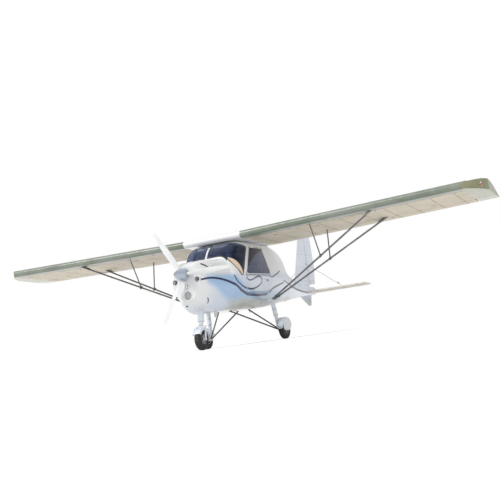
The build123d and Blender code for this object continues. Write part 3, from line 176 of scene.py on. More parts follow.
def gel_coat_and_painted_light():
    """White gel coat, with painted blue sky shade along the flanks and a painted olive reflection of the
    ground under the belly.
    """
    look = Look("gel_coat_and_painted_light", coat=0.6)
    # Painted pale sky shade on the lower body, fading in aft of the nose and below the cowl top.
    pale = look.times(look.span(look.z, 1.26, 1.14), look.span(look.y, -2.66, -2.36), 0.55)
    shade = look.mix(pale, (0.86, 0.87, 0.88), (0.58, 0.67, 0.88))
    top = look.span(look.y, -2.10, -1.45, 1.20, 0.90)
    low = look.span(look.y, -2.70, -2.00, 1.07, 0.74)
    flank = look.span(look.less(look.z, top), 0.05, -0.06)
    belly = look.span(look.less(look.z, low), -0.05, 0.09)
    # Painted blue sky shade along the flank, strongest forward and fading towards the tail.
    sky_shade = look.times(flank, belly, look.span(look.y, 0.9, -0.9, 0.15, 1.0),
                      look.span(look.y, -2.66, -2.54), look.mottle(1.7, 2, 0.2, 0.8, 0.85, 1.0))
    shade = look.mix(sky_shade, shade, (0.36, 0.56, 0.83))
    # Painted olive reflection of the ground under the belly.
    under = look.times(look.span(look.z, 0.84, 0.72), look.span(look.y, -2.25, -1.85),
                       look.mottle(4, 4, 0.25, 0.75, 0.45, 0.70))
    shade = look.mix(under, shade, (0.40, 0.41, 0.27))
    gloss = look.mottle(40, 4, start=0.16, end=0.26)
    return look.finish(shade, gloss, look.noise(160, 2), 0.00015, 0.15)


def leg_paint():
    """Pale paint with a few grey chips."""
    look = Look("leg_paint", coat=0.5)
    shade = look.mix(look.mottle(5, 3), (0.72, 0.78, 0.86), (0.80, 0.84, 0.88))
    shade = look.mix(look.mottle(90, 4, 0.76, 0.80), shade, (0.38, 0.38, 0.38))
    return look.finish(shade, look.mottle(30, start=0.2, end=0.34), look.noise(120, 2), 0.0001, 0.15)


def wing_cloth():
    """Sailcloth over ribs: painted shadow lines along the ribs, a sag between them, and a glossy nose band.
    """
    look = Look("wing_cloth", sheen=0.15)
    out = look.math("ABSOLUTE", look.x)
    from_rib = look.math("PINGPONG", look.less(out, RIB_START), RIB_PITCH / 2)
    rib = look.span(from_rib, 0.018, 0.006)
    sag = look.span(from_rib, 0.0, RIB_PITCH / 2)
    edge = NOSE_BAND_SHARE * CHORD
    nose = look.span(look.less(look.y, WING_FRONT), edge + 0.004, edge - 0.004)
    cloth = look.mix(look.mottle(2.2, 3), (0.66, 0.58, 0.44), (0.76, 0.67, 0.53))
    # Painted shadow of each rib, darkening the cloth along the rib lines.
    cloth = look.mix(look.times(rib, 0.75), cloth, (0.26, 0.21, 0.14))
    cloth = look.mix(look.mottle(90, 5, 0.45, 0.85, 0.0, 0.12), cloth, (0.45, 0.38, 0.28))
    band = look.mix(look.mottle(3, 3), (0.19, 0.22, 0.17), (0.27, 0.30, 0.25))
    height = look.less(look.times(look.weave(THREAD_PITCH), 0.04), look.times(sag, 0.8))
    height = look.times(height, look.less(1.0, nose))
    return look.finish(look.mix(nose, cloth, band), look.span(nose, 0.0, 1.0, 0.46, 0.22), height, 0.004, 0.5)


def tail_cloth(name, light, dark, where):
    look = Look(name, sheen=0.12)
    rib = look.span(look.math("PINGPONG", where(look), 0.145), 0.020, 0.004)
    shade = look.mix(look.mottle(2.5, 3), light, dark)
    shade = look.mix(look.times(rib, 0.25), shade, faded(dark, 0.45))
    height = look.math("ADD", look.times(look.weave(THREAD_PITCH), 0.05), rib)
    return look.finish(shade, look.mottle(25, start=0.34, end=0.48), height, 0.002, 0.3)


def rubber():
    look = Look("tyre_rubber")
    shade = look.mix(look.mottle(18, 5, 0.4, 0.75), (0.016, 0.016, 0.017), (0.045, 0.043, 0.040))
    return look.finish(shade, look.mottle(50, start=0.62, end=0.82), look.noise(260, 3), 0.0006, 0.5)


def seat_cloth():
    look = Look("seat_weave", sheen=0.4)
    threads = look.weave(0.0035)
    shade = look.mix(look.span(threads, -0.8, 0.8), (0.055, 0.075, 0.125), (0.13, 0.16, 0.22))
    shade = look.mix(look.mottle(6, 4, 0.35, 0.75, 0.0, 0.35), shade, (0.20, 0.21, 0.24))
    return look.finish(shade, look.mottle(30, start=0.72, end=0.90), threads, 0.0006, 0.5)


def brushed(name, colour, rough):
    look = Look(name, metallic=1.0)
    grain = look.noise(60, 5, (1, 12, 12))
    shade = look.mix(look.span(grain, 0.3, 0.7), colour, faded(colour, 0.78))
    return look.finish(shade, look.mottle(14, start=rough - 0.07, end=rough + 0.07), grain, 0.0003)


def strut_paint():
    """Dark anodised metal, lighter where it is rubbed."""
    look = Look("strut_finish", metallic=0.65)
    shade = look.mix(look.mottle(7, 6, 0.5, 0.75), (0.17, 0.18, 0.18), (0.34, 0.35, 0.34))
    return look.finish(shade, look.mottle(35, start=0.28, end=0.44), look.noise(120), 0.0002)


def glass(name, tint):
    look = Look(name, clear=1.0, ior=1.52)
    # The blue Specular Tint colours every reflection on the glass: a painted blue sky reflection.
    look.shader.inputs["Specular Tint"].default_value = (0.45, 0.60, 1.0, 1)
    shade = look.mix(look.mottle(2), tint, faded(tint, 0.97))
    return look.finish(shade, look.mottle(12, 5, 0.45, 0.85, 0.01, 0.04))


BODY = gel_coat_and_painted_light()
LEG = leg_paint()
WING = wing_cloth()
FIN_CLOTH = tail_cloth("fin_cloth", (0.80, 0.84, 0.92), (0.73, 0.79, 0.90), lambda look: look.z)
TAIL_CLOTH = tail_cloth("tail_cloth", (0.74, 0.68, 0.60), (0.66, 0.60, 0.52),
                        lambda look: look.math("ABSOLUTE", look.x))
TAPE = plain("rib_tape", (0.50, 0.43, 0.32), (0.58, 0.50, 0.38), 6, 0.5)
BLUE_TAPE = plain("fin_tape", (0.70, 0.76, 0.87), (0.76, 0.81, 0.89), 6, 0.45)
# The olive of the tip mouldings is a painted reflection of the ground.
TIP_OLIVE_REFLECTION = plain("tip_moulding", (0.23, 0.25, 0.13), (0.36, 0.32, 0.18), 2.0, 0.24, depth=0.00003, coat=0.5)
NAVY = plain("navy_line", (0.012, 0.022, 0.085), (0.020, 0.034, 0.115), 8, 0.25, coat=0.5)
RUBBER = rubber()
SEAT = seat_cloth()
BLADE = plain("blade_paint", (0.80, 0.81, 0.82), (0.86, 0.86, 0.87), 8, 0.28, coat=0.5)
SPINNER = plain("spinner_paint", (0.36, 0.43, 0.52), (0.46, 0.53, 0.62), 6, 0.20, metallic=0.45, coat=0.5)
BARE = brushed("bare_metal", (0.62, 0.62, 0.63), 0.30)
CHROME = brushed("lamp_chrome", (0.90, 0.90, 0.91), 0.12)
STEEL = brushed("bolt_steel", (0.50, 0.50, 0.52), 0.32)
WHEEL = brushed("wheel_alloy", (0.66, 0.67, 0.69), 0.34)
ENGINE = plain("engine_cast", (0.20, 0.20, 0.21), (0.30, 0.30, 0.31), 9, 0.52, metallic=0.7, depth=0.0012)
STRUT = strut_paint()
TUBE = plain("tube_paint", (0.075, 0.085, 0.070), (0.12, 0.13, 0.11), 8, 0.38, metallic=0.3)
DARK = plain("dark_metal", (0.045, 0.046, 0.050), (0.075, 0.076, 0.080), 10, 0.45, metallic=0.4)
BLACK = plain("black_trim", (0.012, 0.012, 0.013), (0.028, 0.028, 0.030), 20, 0.62)
SEAL = plain("rubber_seal", (0.030, 0.031, 0.034), (0.050, 0.051, 0.055), 30, 0.58)
CABIN = plain("cabin_trim", (0.16, 0.165, 0.18), (0.22, 0.225, 0.24), 12, 0.6, depth=0.0008)
# Warm cream of the bands on the windscreen's lower sides: a painted reflection on the curved glass.
PAINTED_SCREEN_REFLECTION = plain("painted_screen_reflection", (0.82, 0.60, 0.42), (0.88, 0.70, 0.54), 7, 0.6, sheen=0.2)
GREY = plain("grey_moulding", (0.36, 0.38, 0.42), (0.46, 0.48, 0.52), 10, 0.4)
WHITE = plain("white_trim", (0.80, 0.81, 0.83), (0.86, 0.87, 0.88), 8, 0.3, coat=0.3)
SCREEN = glass("screen_glass", (0.45, 0.52, 0.78))
DOOR_SCREEN = glass("door_glass", (0.52, 0.53, 0.70))
LENS = glass("lamp_lens", (0.95, 0.96, 0.93))
RED_LENS = plain("red_lens", (0.62, 0.035, 0.015), (0.72, 0.075, 0.02), 30, 0.12, spread=0.04, coat=1.0)
GREEN_LENS = plain("green_lens", (0.01, 0.34, 0.10), (0.02, 0.44, 0.14), 30, 0.12, spread=0.04, coat=1.0)
CLEAR_LENS = plain("clear_lens", (0.80, 0.80, 0.76), (0.88, 0.88, 0.85), 30, 0.12, spread=0.04, coat=1.0)
WEBBING = plain("strap_web", (0.040, 0.042, 0.050), (0.075, 0.078, 0.088), 40, 0.75, sheen=0.3)
DIAL = plain("dial_face", (0.010, 0.010, 0.011), (0.020, 0.020, 0.022), 30, 0.4)

# The look of each CAD node; a star stands for the left and the right one
NODE_LOOKS = (
    (BODY, "cabin_shell cowl_upper cowl_lower door_* tail_cone roof_fairing ventral_fin"),
    (LEG, "gear_cross_tube main_leg_* nose_leg nose_fork nose_mudguard spat_*"),
    (WING, "wing_* flap_* aileron_*"),
    (FIN_CLOTH, "fin rudder"),
    (TAIL_CLOTH, "stabilizer elevator"),
    (TIP_OLIVE_REFLECTION, "wing_tip_*"),
    (RUBBER, "tyre_main_* tyre_nose"),
    (WHEEL, "rim_main_* rim_nose"),
    (STRUT, "strut_front_* strut_rear_* jury_struts_*"),
    (TUBE, "drag_tube_front_* drag_tube_rear_*"),
    (DARK, "cabin_frame antenna"),
    (ENGINE, "engine_block"),
    (BARE, "exhaust_pipe firewall pitot_tube tail_stays"),
    (BLADE, "propeller"),
    (SPINNER, "spinner"),
    (SCREEN, "windscreen"),
    (DOOR_SCREEN, "door_glass_*"),
    (LENS, "nose_lamp"),
    (CABIN, "instrument_panel controls seats"),
)
for look, names in NODE_LOOKS:
    for stem in names.split():
        for name in sorted({stem.replace("*", side) for side, _ in SIDES}):
            data = NODES[name].data
            data.materials.clear()
            data.materials.append(look)
            for face in data.polygons:
                face.material_index = 0


# ---- shapes
def tree_of(*names):
    """The CAD nodes as one surface to cast rays on, with the node of each face."""
    points, faces, owners = [], [], []
    for name in names:
        mesh = NODES[name].data
        base = len(points)
        points += [v.co.copy() for v in mesh.vertices]
        faces += [[base + i for i in face.vertices] for face in mesh.polygons]
        owners += [name] * len(mesh.polygons)
    return BVHTree.FromPolygons(points, faces), owners


def cast(surface, spot, out):
    """Where the surface lies under a spot, seen from the side that out points to."""
    tree, owners = surface
    hit, normal, face, _ = tree.ray_cast(Vector(spot) + out * FAR, -out)
    if hit is None:
        return None
    return hit, (-normal if normal.dot(out) < 0 else normal), owners[face]


def way_at(line, i):
    """The way that a line runs at one of its points."""
    return line[min(i + 1, len(line) - 1)] - line[max(i - 1, 0)]


class Shape:
    """Gathers faces and turns them into one piece."""

    def __init__(self):
        self.points = []
        self.faces = []

    def add(self, points, faces):
        base = len(self.points)
        self.points += [Vector(p) for p in points]
        self.faces += [[base + i for i in face] for face in faces]
        return self

    def grid(self, rows, closed=False, ring=False, caps=False):
        wide, deep = len(rows[0]), len(rows)
        faces = []
        for i in range(deep if ring else deep - 1):
            for j in range(wide if closed else wide - 1):
                k = (j + 1) % wide
                low = (i + 1) % deep * wide
                faces.append([i * wide + j, i * wide + k, low + k, low + j])
        if caps:
            faces.append(list(range(wide))[::-1])
            faces.append([(deep - 1) * wide + j for j in range(wide)])
        return self.add([p for row in rows for p in row], faces)

    def turn(self, profile, centre, axis, sides=40):
        """Turns (along, radius) pairs about an axis."""
        axis = Vector(axis).normalized()
        return self.grid([circle(Vector(centre) + axis * along, axis, radius, sides)
                          for along, radius in profile], closed=True)

    def solid(self, profile, centre, axis, sides=40):
        """Turns a profile, with flat ends that close it on its axis."""
        ends = [(profile[i][0], ON_AXIS) for i in (0, -1)]
        return self.turn([ends[0], *profile, ends[1]], centre, axis, sides)

    def tube(self, path, radius, sides=10, ring=False, flat=1.0):
        path = [Vector(p) for p in path]
        count = len(path)
        rows = []
        across = None
        for i, spot in enumerate(path):
            before = path[i - 1] if (i or ring) else spot
            after = path[(i + 1) % count] if (i < count - 1 or ring) else spot
            along = (after - before).normalized()
            across = across or along.orthogonal().normalized()
            across = (across - along * across.dot(along)).normalized()
            up = along.cross(across)
            size = radius[i] if isinstance(radius, list) else radius
            rows.append([spot + across * math.cos(2 * math.pi * j / sides) * size
                         + up * math.sin(2 * math.pi * j / sides) * size * flat
                         for j in range(sides)])
        return self.grid(rows, closed=True, ring=ring, caps=not ring)

    def hoop(self, centre, axis, radius, thick, count, sides=8):
        """A round ring of wire."""
        return self.tube(circle(centre, axis, radius, count), thick, sides, ring=True)

    def bolt(self, spot, normal, radius, height, sides=6):
        return self.solid([(-height * 0.5, radius), (height * 0.7, radius), (height, radius * 0.8)],
                          spot, normal, sides)

    def dome(self, spot, normal, radius, height, sides=10):
        return self.turn(((-height, ON_AXIS), (-height, radius), (height * 0.3, radius),
                          (height * 0.75, radius * 0.7), (height, ON_AXIS)), spot, normal, sides)

    def slab(self, outline, depth):
        """A flat outline pushed out by a vector."""
        count = len(outline)
        front = [Vector(p) for p in outline]
        faces = [list(range(count))[::-1], list(range(count, 2 * count))]
        faces += [[i, (i + 1) % count, count + (i + 1) % count, count + i] for i in range(count)]
        return self.add(front + [p + Vector(depth) for p in front], faces)

    def band(self, surface, line, out, width, height, sink=0.002, cells=4):
        """A thin raised band that lies on a surface along a line of spots."""
        out = Vector(out).normalized()
        line = [Vector(p) for p in line]
        rows = []
        for i, spot in enumerate(line):
            size = width[i] if isinstance(width, list) else width
            hits = hits_across(surface, spot, way_at(line, i), out, out, size, cells)
            if None in hits:
                self.band_rows(rows)
                rows = []
            else:
                rows.append(band_row(hits, height, height * 0.3, sink))
        return self.band_rows(rows)

    def band_rows(self, rows):
        return self.grid(rows, closed=True, caps=True) if len(rows) > 1 else self

    def both_faces(self, surface, line, width, height):
        """One band above a surface and one below it."""
        for out in (Z_AXIS, -Z_AXIS):
            self.band(surface, line, out, width, height)
        return self

    def make(self, name, look, body="airframe", slot=None, sharp=38, rounds=0.0, smooth=0):
        if not self.faces:
            return None
        mesh = bpy.data.meshes.new(name)
        mesh.from_pydata([tuple(p) for p in self.points], [], self.faces)
        work = bmesh.new()
        work.from_mesh(mesh)
        bmesh.ops.remove_doubles(work, verts=work.verts, dist=2e-5)
        bmesh.ops.dissolve_degenerate(work, edges=work.edges, dist=1e-6)
        bmesh.ops.recalc_face_normals(work, faces=work.faces)
        work.to_mesh(mesh)
        work.free()
        piece = bpy.data.objects.new(name, mesh)
        bpy.context.scene.collection.objects.link(piece)
        mesh.materials.append(look)
        for face in mesh.polygons:
            face.use_smooth = True
        mesh.set_sharp_from_angle(angle=math.radians(sharp))
        if rounds:
            bevel = piece.modifiers.new("rounds", "BEVEL")
            bevel.width = rounds
            bevel.segments = 2
            bevel.limit_method = "ANGLE"
        if smooth:
            fine = piece.modifiers.new("smooth", "SUBSURF")
            fine.levels = fine.render_levels = smooth
        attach(piece, body)
        return piece


def hits_across(surface, spot, along, face, out, size, cells):
    """Where rays meet a surface across a band, which faces one way."""
    across = along.cross(face).normalized()
    return [cast(surface, spot + across * size * (j / cells - 0.5), out) for j in range(cells + 1)]


def band_row(hits, middle, edge, sink):
    """The points of a band across one spot, from one sunken edge to the other."""
    heights = [edge] + [middle] * (len(hits) - 2) + [edge]
    return ([hits[0][0] - hits[0][1] * sink] + [h[0] + h[1] * high for h, high in zip(hits, heights)]
            + [hits[-1][0] - hits[-1][1] * sink])


def curve_points(points, step):
    """A smooth line through points, divided at about every step."""
    points = [Vector(p) for p in points]
    line = []
    for i in range(len(points) - 1):
        a = points[max(i - 1, 0)]
        b, c = points[i], points[i + 1]
        d = points[min(i + 2, len(points) - 1)]
        count = max(1, round((c - b).length / step))
        for k in range(count):
            t = k / count
            line.append(0.5 * (2 * b + (c - a) * t + (2 * a - 5 * b + 4 * c - d) * t * t
                               + (3 * b - a - 3 * c + d) * t ** 3))
    return line + [points[-1]]


def spots_along(points, pitch):
    """Points at an even pitch along a run of corners."""
    points = [Vector(p) for p in points]
    spots = []
    for a, b in zip(points, points[1:]):
        count = max(1, round((b - a).length / pitch))
        spots += [a.lerp(b, i / count) for i in range(count)]
    return spots + [points[-1]]


def on_side(sign, pairs):
    """Spots beside the body from their places along and up."""
    return [(sign, y, z) for y, z in pairs]


def radial(angle):
    """The way out from a lengthwise axis at an angle."""
    return Vector((math.cos(angle), 0, math.sin(angle)))


def circle(centre, axis, radius, count=32):
    axis = Vector(axis).normalized()
    across = axis.orthogonal().normalized()
    up = axis.cross(across)
    return [Vector(centre) + (across * math.cos(2 * math.pi * i / count)
                              + up * math.sin(2 * math.pi * i / count)) * radius
            for i in range(count)]


def wing_spot(x, share, above=0.0):
    """A point of the wing from its distance out and its share of the chord."""
    out = abs(x)
    y = WING_FRONT + CHORD * (share * math.cos(INCIDENCE) + above * math.sin(INCIDENCE))
    z = (WING_HEIGHT + (out - WING_ROOT) * math.tan(DIHEDRAL)
         + CHORD * (above * math.cos(INCIDENCE) - share * math.sin(INCIDENCE)))
    return Vector((x, y, z))


# ---- wing and control surfaces
def rib_places(low, high):
    places = []
    x = RIB_START
    while x < high:
        if x > low:
            places.append(x)
        x += RIB_PITCH
    return places


def surface_tapes(name, node, body, sign, low, high, front, rear):
    """Tapes over the ribs of a covered surface, above and below it."""
    surface = tree_of(node)
    shape = Shape()
    for x in rib_places(low + 0.05, high - 0.05):
        line = [wing_spot(sign * x, front + (rear - front) * i / 22) for i in range(23)]
        shape.both_faces(surface, line, TAPE_WIDTH, TAPE_HEIGHT)
    shape.make(name, TAPE, body)


def wing_details(side, sign):
    wing = "wing_" + side
    surface_tapes("rib_tapes_" + side, wing, "airframe", sign, WING_ROOT, WING_END,
                  NOSE_BAND_SHARE + 0.01, 0.765)
    for kind, low, high in (("aileron", SURFACE_SPLIT, WING_END), ("flap", WING_ROOT, SURFACE_SPLIT)):
        body = f"{kind}_{side}"
        surface_tapes(f"{kind}_tapes_{side}", body, body, sign, low, high, 0.82, 0.985)
    surface = tree_of(wing)
    span = [WING_ROOT + 0.02 + (WING_END - WING_ROOT - 0.03) * i / 60 for i in range(61)]
    edge, plates, metal = Shape(), Shape(), Shape()
    for share in (NOSE_BAND_SHARE, 0.755):
        edge.both_faces(surface, [wing_spot(sign * x, share) for x in span], 0.030, 0.001)
    edge.make("edge_tapes_" + side, TAPE)
    # Dark band along the hinge gap of the flap and aileron: painted shade in the gap.
    line = [wing_spot(sign * x, 0.772) for x in span]
    Shape().both_faces(surface, line, 0.010, 0.0012).make("hinge_gap_shade_" + side, SEAL, slot="wing_fabric")

    for x, share in ((1.05, 0.30), (1.82, 0.30), (2.60, 0.62), (3.75, 0.62)):
        spot, normal, _ = cast(surface, wing_spot(sign * x, share), -Z_AXIS)
        plates.solid([(-0.001, 0.052), (0.0012, 0.052), (0.002, 0.048), (0.002, 0.044), (0.0012, 0.042)],
                     spot, normal, 36)
    plates.make("inspection_plates_" + side, TAPE)

    spot, normal, _ = cast(surface, wing_spot(sign * 0.95, 0.24), Z_AXIS)
    metal.solid([(-0.004, 0.046), (0.003, 0.046), (0.006, 0.040), (0.006, 0.012), (0.010, 0.010)],
                spot, normal, 32)
    spot = cast(surface, wing_spot(sign * 2.95, 0.13), -Z_AXIS)[0]
    metal.hoop(spot + Vector((0, 0, -0.022)), X_AXIS, 0.016, 0.003, 20)
    for x in rib_places(WING_ROOT, WING_END)[::2]:
        spot, normal, _ = cast(surface, wing_spot(sign * x, 0.74), -Z_AXIS)
        metal.dome(spot, normal, 0.004, 0.0025)
    metal.make("wing_fittings_" + side, BARE, slot="strut_metal")


def tip_lamp(side, sign, lens):
    """The coloured lamp on the wing tip, with its clear strobe and base."""
    low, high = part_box("wing_tip_" + side)
    y = low.y + 0.24 * (high.y - low.y)
    z = wing_spot(4.6, (y - WING_FRONT) / CHORD, 0.03).z
    out = X_AXIS * sign
    spot = cast(tree_of("wing_tip_" + side), (sign * 4.0, y, z), out)[0]
    Shape().tube([spot - out * 0.02, spot + out * 0.001], 0.026, 24, flat=1.8).make(
        "tip_lamp_base_" + side, WHITE, slot="tip_moulding")
    dome = [(0.012 * math.sin(t * math.pi / 16), 0.020 * math.cos(t * math.pi / 16) + ON_AXIS)
            for t in range(9)]
    Shape().turn([(-0.012, ON_AXIS), (-0.012, 0.020)] + dome,
                 spot + Vector((0, -0.020, 0)) - out * 0.002, out, 24).make("tip_lamp_" + side, lens)
    Shape().turn([(-0.012, ON_AXIS), (-0.012, 0.016)] + [(a * 0.9, r * 0.8) for a, r in dome],
                 spot + Vector((0, 0.024, 0)) - out * 0.002, out, 24).make("tip_strobe_" + side, CLEAR_LENS)


for side, sign in SIDES:
    wing_details(side, sign)
tip_lamp("left", 1, RED_LENS)
tip_lamp("right", -1, GREEN_LENS)


# ---- livery lines, as (place along, height) on the flank
BODY_NODES = ("cabin_shell", "cowl_upper", "cowl_lower", "tail_cone", "door_left", "door_right",
              "stabilizer")
MAIN_LINE = ((-2.690, 1.135), (-2.505, 1.149), (-2.263, 1.116), (-2.056, 1.050), (-1.825, 0.931),
             (-1.640, 0.868), (-1.537, 0.842), (-1.241, 0.828), (-0.912, 0.832), (-0.790, 0.840),
             (-0.650, 0.885), (-0.509, 0.945), (0.028, 1.045))
AFT_LINE = ((0.030, 1.085), (0.320, 1.035), (0.587, 0.995), (1.096, 0.946), (1.550, 0.915),
            (2.039, 0.894), (2.479, 0.880))
CURL_LINE = ((-1.964, 1.180), (-1.912, 1.057), (-1.709, 0.965), (-1.421, 0.933), (-1.166, 0.988),
             (-1.082, 1.066), (-1.130, 1.125), (-1.210, 1.142), (-1.320, 1.128), (-1.430, 1.095),
             (-1.530, 1.080), (-1.610, 1.095), (-1.650, 1.140))
SMALL_LINE = ((-0.742, 1.146), (-0.670, 1.136), (-0.600, 1.143), (-0.370, 1.199), (-0.177, 1.258))
LINES = (("main", MAIN_LINE, 0.044, 0.030), ("aft", AFT_LINE, 0.038, 0.024),
         ("curl", CURL_LINE, 0.030, 0.022), ("small", SMALL_LINE, 0.026, 0.020))


def livery(side, sign, surface):
    """Flowing lines on the flank, split where they cross the door's edge."""
    for name, points, wide, narrow in LINES:
        line = curve_points([(sign * 0.9, y, z) for y, z in points], 0.010)
        shapes = {}
        rows, owner, depth = [], None, 0.0
        for i, spot in enumerate(line):
            share = i / (len(line) - 1)
            size = narrow + (wide - narrow) * min(1.0, 4 * share, 4 * (1 - share))
            hits = hits_across(surface, spot, way_at(line, i), X_AXIS, X_AXIS * sign, size, 4)
            good = all(h is not None and abs(h[1].x) > 0.25 for h in hits)
            good = good and max(h[0].x for h in hits) - min(h[0].x for h in hits) < 0.03
            node = hits[2][2] if good else None
            body = node and (node if node.startswith("door") else "airframe")
            if not good or body != owner or (rows and abs(hits[2][0].x - depth) > 0.02):
                if owner:
                    shapes.setdefault(owner, Shape()).band_rows(rows)
                rows = []
            owner = body
            if good:
                depth = hits[2][0].x
                rows.append(band_row(hits, 0.0008, 0.0003, 0.0015))
        if owner:
            shapes.setdefault(owner, Shape()).band_rows(rows)
        for body, shape in shapes.items():
            shape.make(f"line_{name}_{side}_{body}", NAVY, body)


for side, sign in SIDES:
    livery(side, sign, tree_of(*BODY_NODES))


# ---- cowl, lamp and propeller
COWL = tree_of("cowl_upper", "cowl_lower")
NOSE_SKIN = tree_of("cowl_upper", "cowl_lower", "cabin_shell", "windscreen")


def fasteners(shape, surface, points, out, pitch, radius=SCREW_RADIUS):
    for spot in spots_along(points, pitch):
        hit = cast(surface, spot, Vector(out).normalized())
        if hit:
            shape.dome(hit[0], hit[1], radius, radius * 0.45)


def cowl_details():
    screws, slots, bumps = Shape(), Shape(), Shape()
    for side in (1, -1):
        out = X_AXIS * side
        for z in (COWL_SPLIT + 0.020, COWL_SPLIT - 0.020):
            fasteners(screws, COWL, ((side, -2.64, z), (side, -2.02, z)), out, 0.104)
        for y in (-1.998, -1.962):
            fasteners(screws, NOSE_SKIN, ((side, y, 0.74), (side, y, 1.16)), out, 0.084)
        fasteners(screws, NOSE_SKIN, ((side, -1.998, 1.26), (side, -1.998, 1.40)), out, 0.07)
        fasteners(screws, NOSE_SKIN, ((side * 0.06, -1.998, 2), (side * 0.36, -1.998, 2)), Z_AXIS, 0.10)
        slant = Vector((0.72 * side, -0.10, 0.68))
        line = curve_points([(0.215 * side, -2.575, 1.40), (0.250 * side, -2.520, 1.375),
                             (0.300 * side, -2.445, 1.325)], 0.008)
        slots.band(COWL, line, slant, [
            0.010 + 0.020 * math.sin(math.pi * min(1, 0.08 + 0.9 * i / len(line)))
            for i in range(len(line))], 0.0012)
        line = curve_points([(0.300 * side, -2.380, 1.335), (0.330 * side, -2.325, 1.325),
                             (0.352 * side, -2.270, 1.315)], 0.006)
        bumps.band(COWL, line, slant, [0.008 + 0.034 * math.sin(math.pi * i / (len(line) - 1))
                                       for i in range(len(line))], 0.014, cells=6)
        line = curve_points(on_side(side, ((-2.545, 0.835), (-2.520, 0.800), (-2.508, 0.745))), 0.006)
        slots.band(COWL, line, out, 0.014, 0.0012)
    screws.make("cowl_screws", STEEL)
    slots.make("cowl_slots", BLACK)
    bumps.make("cowl_bumps", GREY)

    seams, latch = Shape(), Shape()
    corners = ((-0.10, -2.40), (-0.10, -2.22), (-0.27, -2.22), (-0.27, -2.40), (-0.10, -2.40))
    for a, b in zip(corners, corners[1:]):
        seams.band(COWL, spots_along(((*a, 2), (*b, 2)), 0.012), Z_AXIS, SEAM_WIDTH, 0.0004)
    seams.make("oil_door_seam", BLACK)
    for y in (-2.37, -2.25):
        spot, normal, _ = cast(COWL, (-0.255, y, 2), Z_AXIS)
        latch.solid([(-0.002, 0.011), (0.0015, 0.011), (0.0025, 0.009)], spot, normal, 24)
    latch.make("oil_door_latches", STEEL)

    rim = []
    for i in range(40):
        angle = 2 * math.pi * i / 40
        rim.append(cast(COWL, (0.075 * math.cos(angle), -2.452 + 0.030 * math.sin(angle), 0), -Z_AXIS)[0])
    Shape().tube(rim, 0.005, 8, ring=True).make("outlet_rim", WHITE)
    spot, normal, _ = cast(COWL, (-0.13, -4.0, 0.745), -Y_AXIS)
    Shape().solid([(-0.004, 0.020), (0.003, 0.020), (0.004, 0.016), (0.001, 0.013)],
                  spot, normal, 28).make("drain_ring", SEAL)


def intake_core():
    """Pale finned core behind the large round intake, and fins behind the two small ones."""
    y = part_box("cowl_lower")[0].y + 0.055
    core, fins = Shape(), Shape()
    core.solid([(0, 0.076), (0.020, 0.076)], (0, y, INTAKE_HEIGHT), Y_AXIS, 48)
    for i in range(-6, 7):
        half = math.sqrt(0.073 ** 2 - (i * 0.011) ** 2)
        z = INTAKE_HEIGHT + i * 0.011
        core.slab([(-half, y - 0.010, z), (half, y - 0.010, z), (half, y + 0.002, z),
                   (-half, y + 0.002, z)], (0, 0, 0.0016))
    for i in range(-4, 5):
        half = math.sqrt(0.073 ** 2 - (i * 0.016) ** 2)
        low, high = INTAKE_HEIGHT - half, INTAKE_HEIGHT + half
        x = i * 0.016
        core.slab([(x, y - 0.006, low), (x, y - 0.006, high), (x, y + 0.002, high), (x, y + 0.002, low)],
                  (0.0012, 0, 0))
    core.make("intake_core", WHITE)
    for side in (1, -1):
        x = INLET[0] * side
        for i in range(-4, 5):
            z = INLET[1] + i * 0.010
            half = math.sqrt(0.050 ** 2 - (i * 0.010) ** 2)
            fins.slab([(x - half, -2.560, z), (x + half, -2.560, z), (x + half, -2.530, z),
                       (x - half, -2.530, z)], (0, 0, 0.003))
        low, high = INLET[1] - 0.055, INLET[1] + 0.055
        fins.slab([(x - 0.055, -2.530, low), (x + 0.055, -2.530, low), (x + 0.055, -2.530, high),
                   (x - 0.055, -2.530, high)], (0, 0.020, 0))
    fins.make("cylinder_fins", ENGINE)


def lamp_details():
    low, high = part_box("nose_lamp")
    middle = (low + high) / 2
    radius = (high.x - low.x) / 2
    profile = [(0.034 - 0.034 * (t / 8) ** 2, ON_AXIS + radius * 0.94 * t / 8) for t in range(9)]
    dish = Shape().turn(profile + [(0.002, radius * 0.96), (0.038, ON_AXIS)],
                        (middle.x, high.y - 0.001, middle.z), Y_AXIS, 40)
    dish.solid([(0.0, 0.007), (0.032, 0.007)], (middle.x, high.y, middle.z), Y_AXIS, 20)
    dish.make("lamp_dish", CHROME)
    Shape().hoop((middle.x, low.y + 0.002, middle.z), Y_AXIS, radius * 1.02, 0.0035, 48, 10).make(
        "lamp_ring", WHITE)


def propeller_details():
    low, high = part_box("spinner")
    radius = (high.x - low.x) / 2
    base = high.y - 0.004
    Shape().hoop((0, base, THRUST), Y_AXIS, radius + 0.0005, 0.0032, 72).make(
        "spinner_plate_edge", BARE, "propeller")
    surface = tree_of("spinner")
    screws = Shape()
    for i in range(12):
        spot, normal, _ = cast(surface, (0, base - 0.016, THRUST), radial(2 * math.pi * (i + 0.5) / 12))
        screws.dome(spot, normal, SCREW_RADIUS, 0.002)
    screws.make("spinner_screws", STEEL, "propeller")


# ---- windscreen and doors
PILLAR_LEAN = 0.390 / 0.535
WINDOW_MARGIN = 0.028


def pillar(z):
    return -1.697 + PILLAR_LEAN * (z - 1.155)


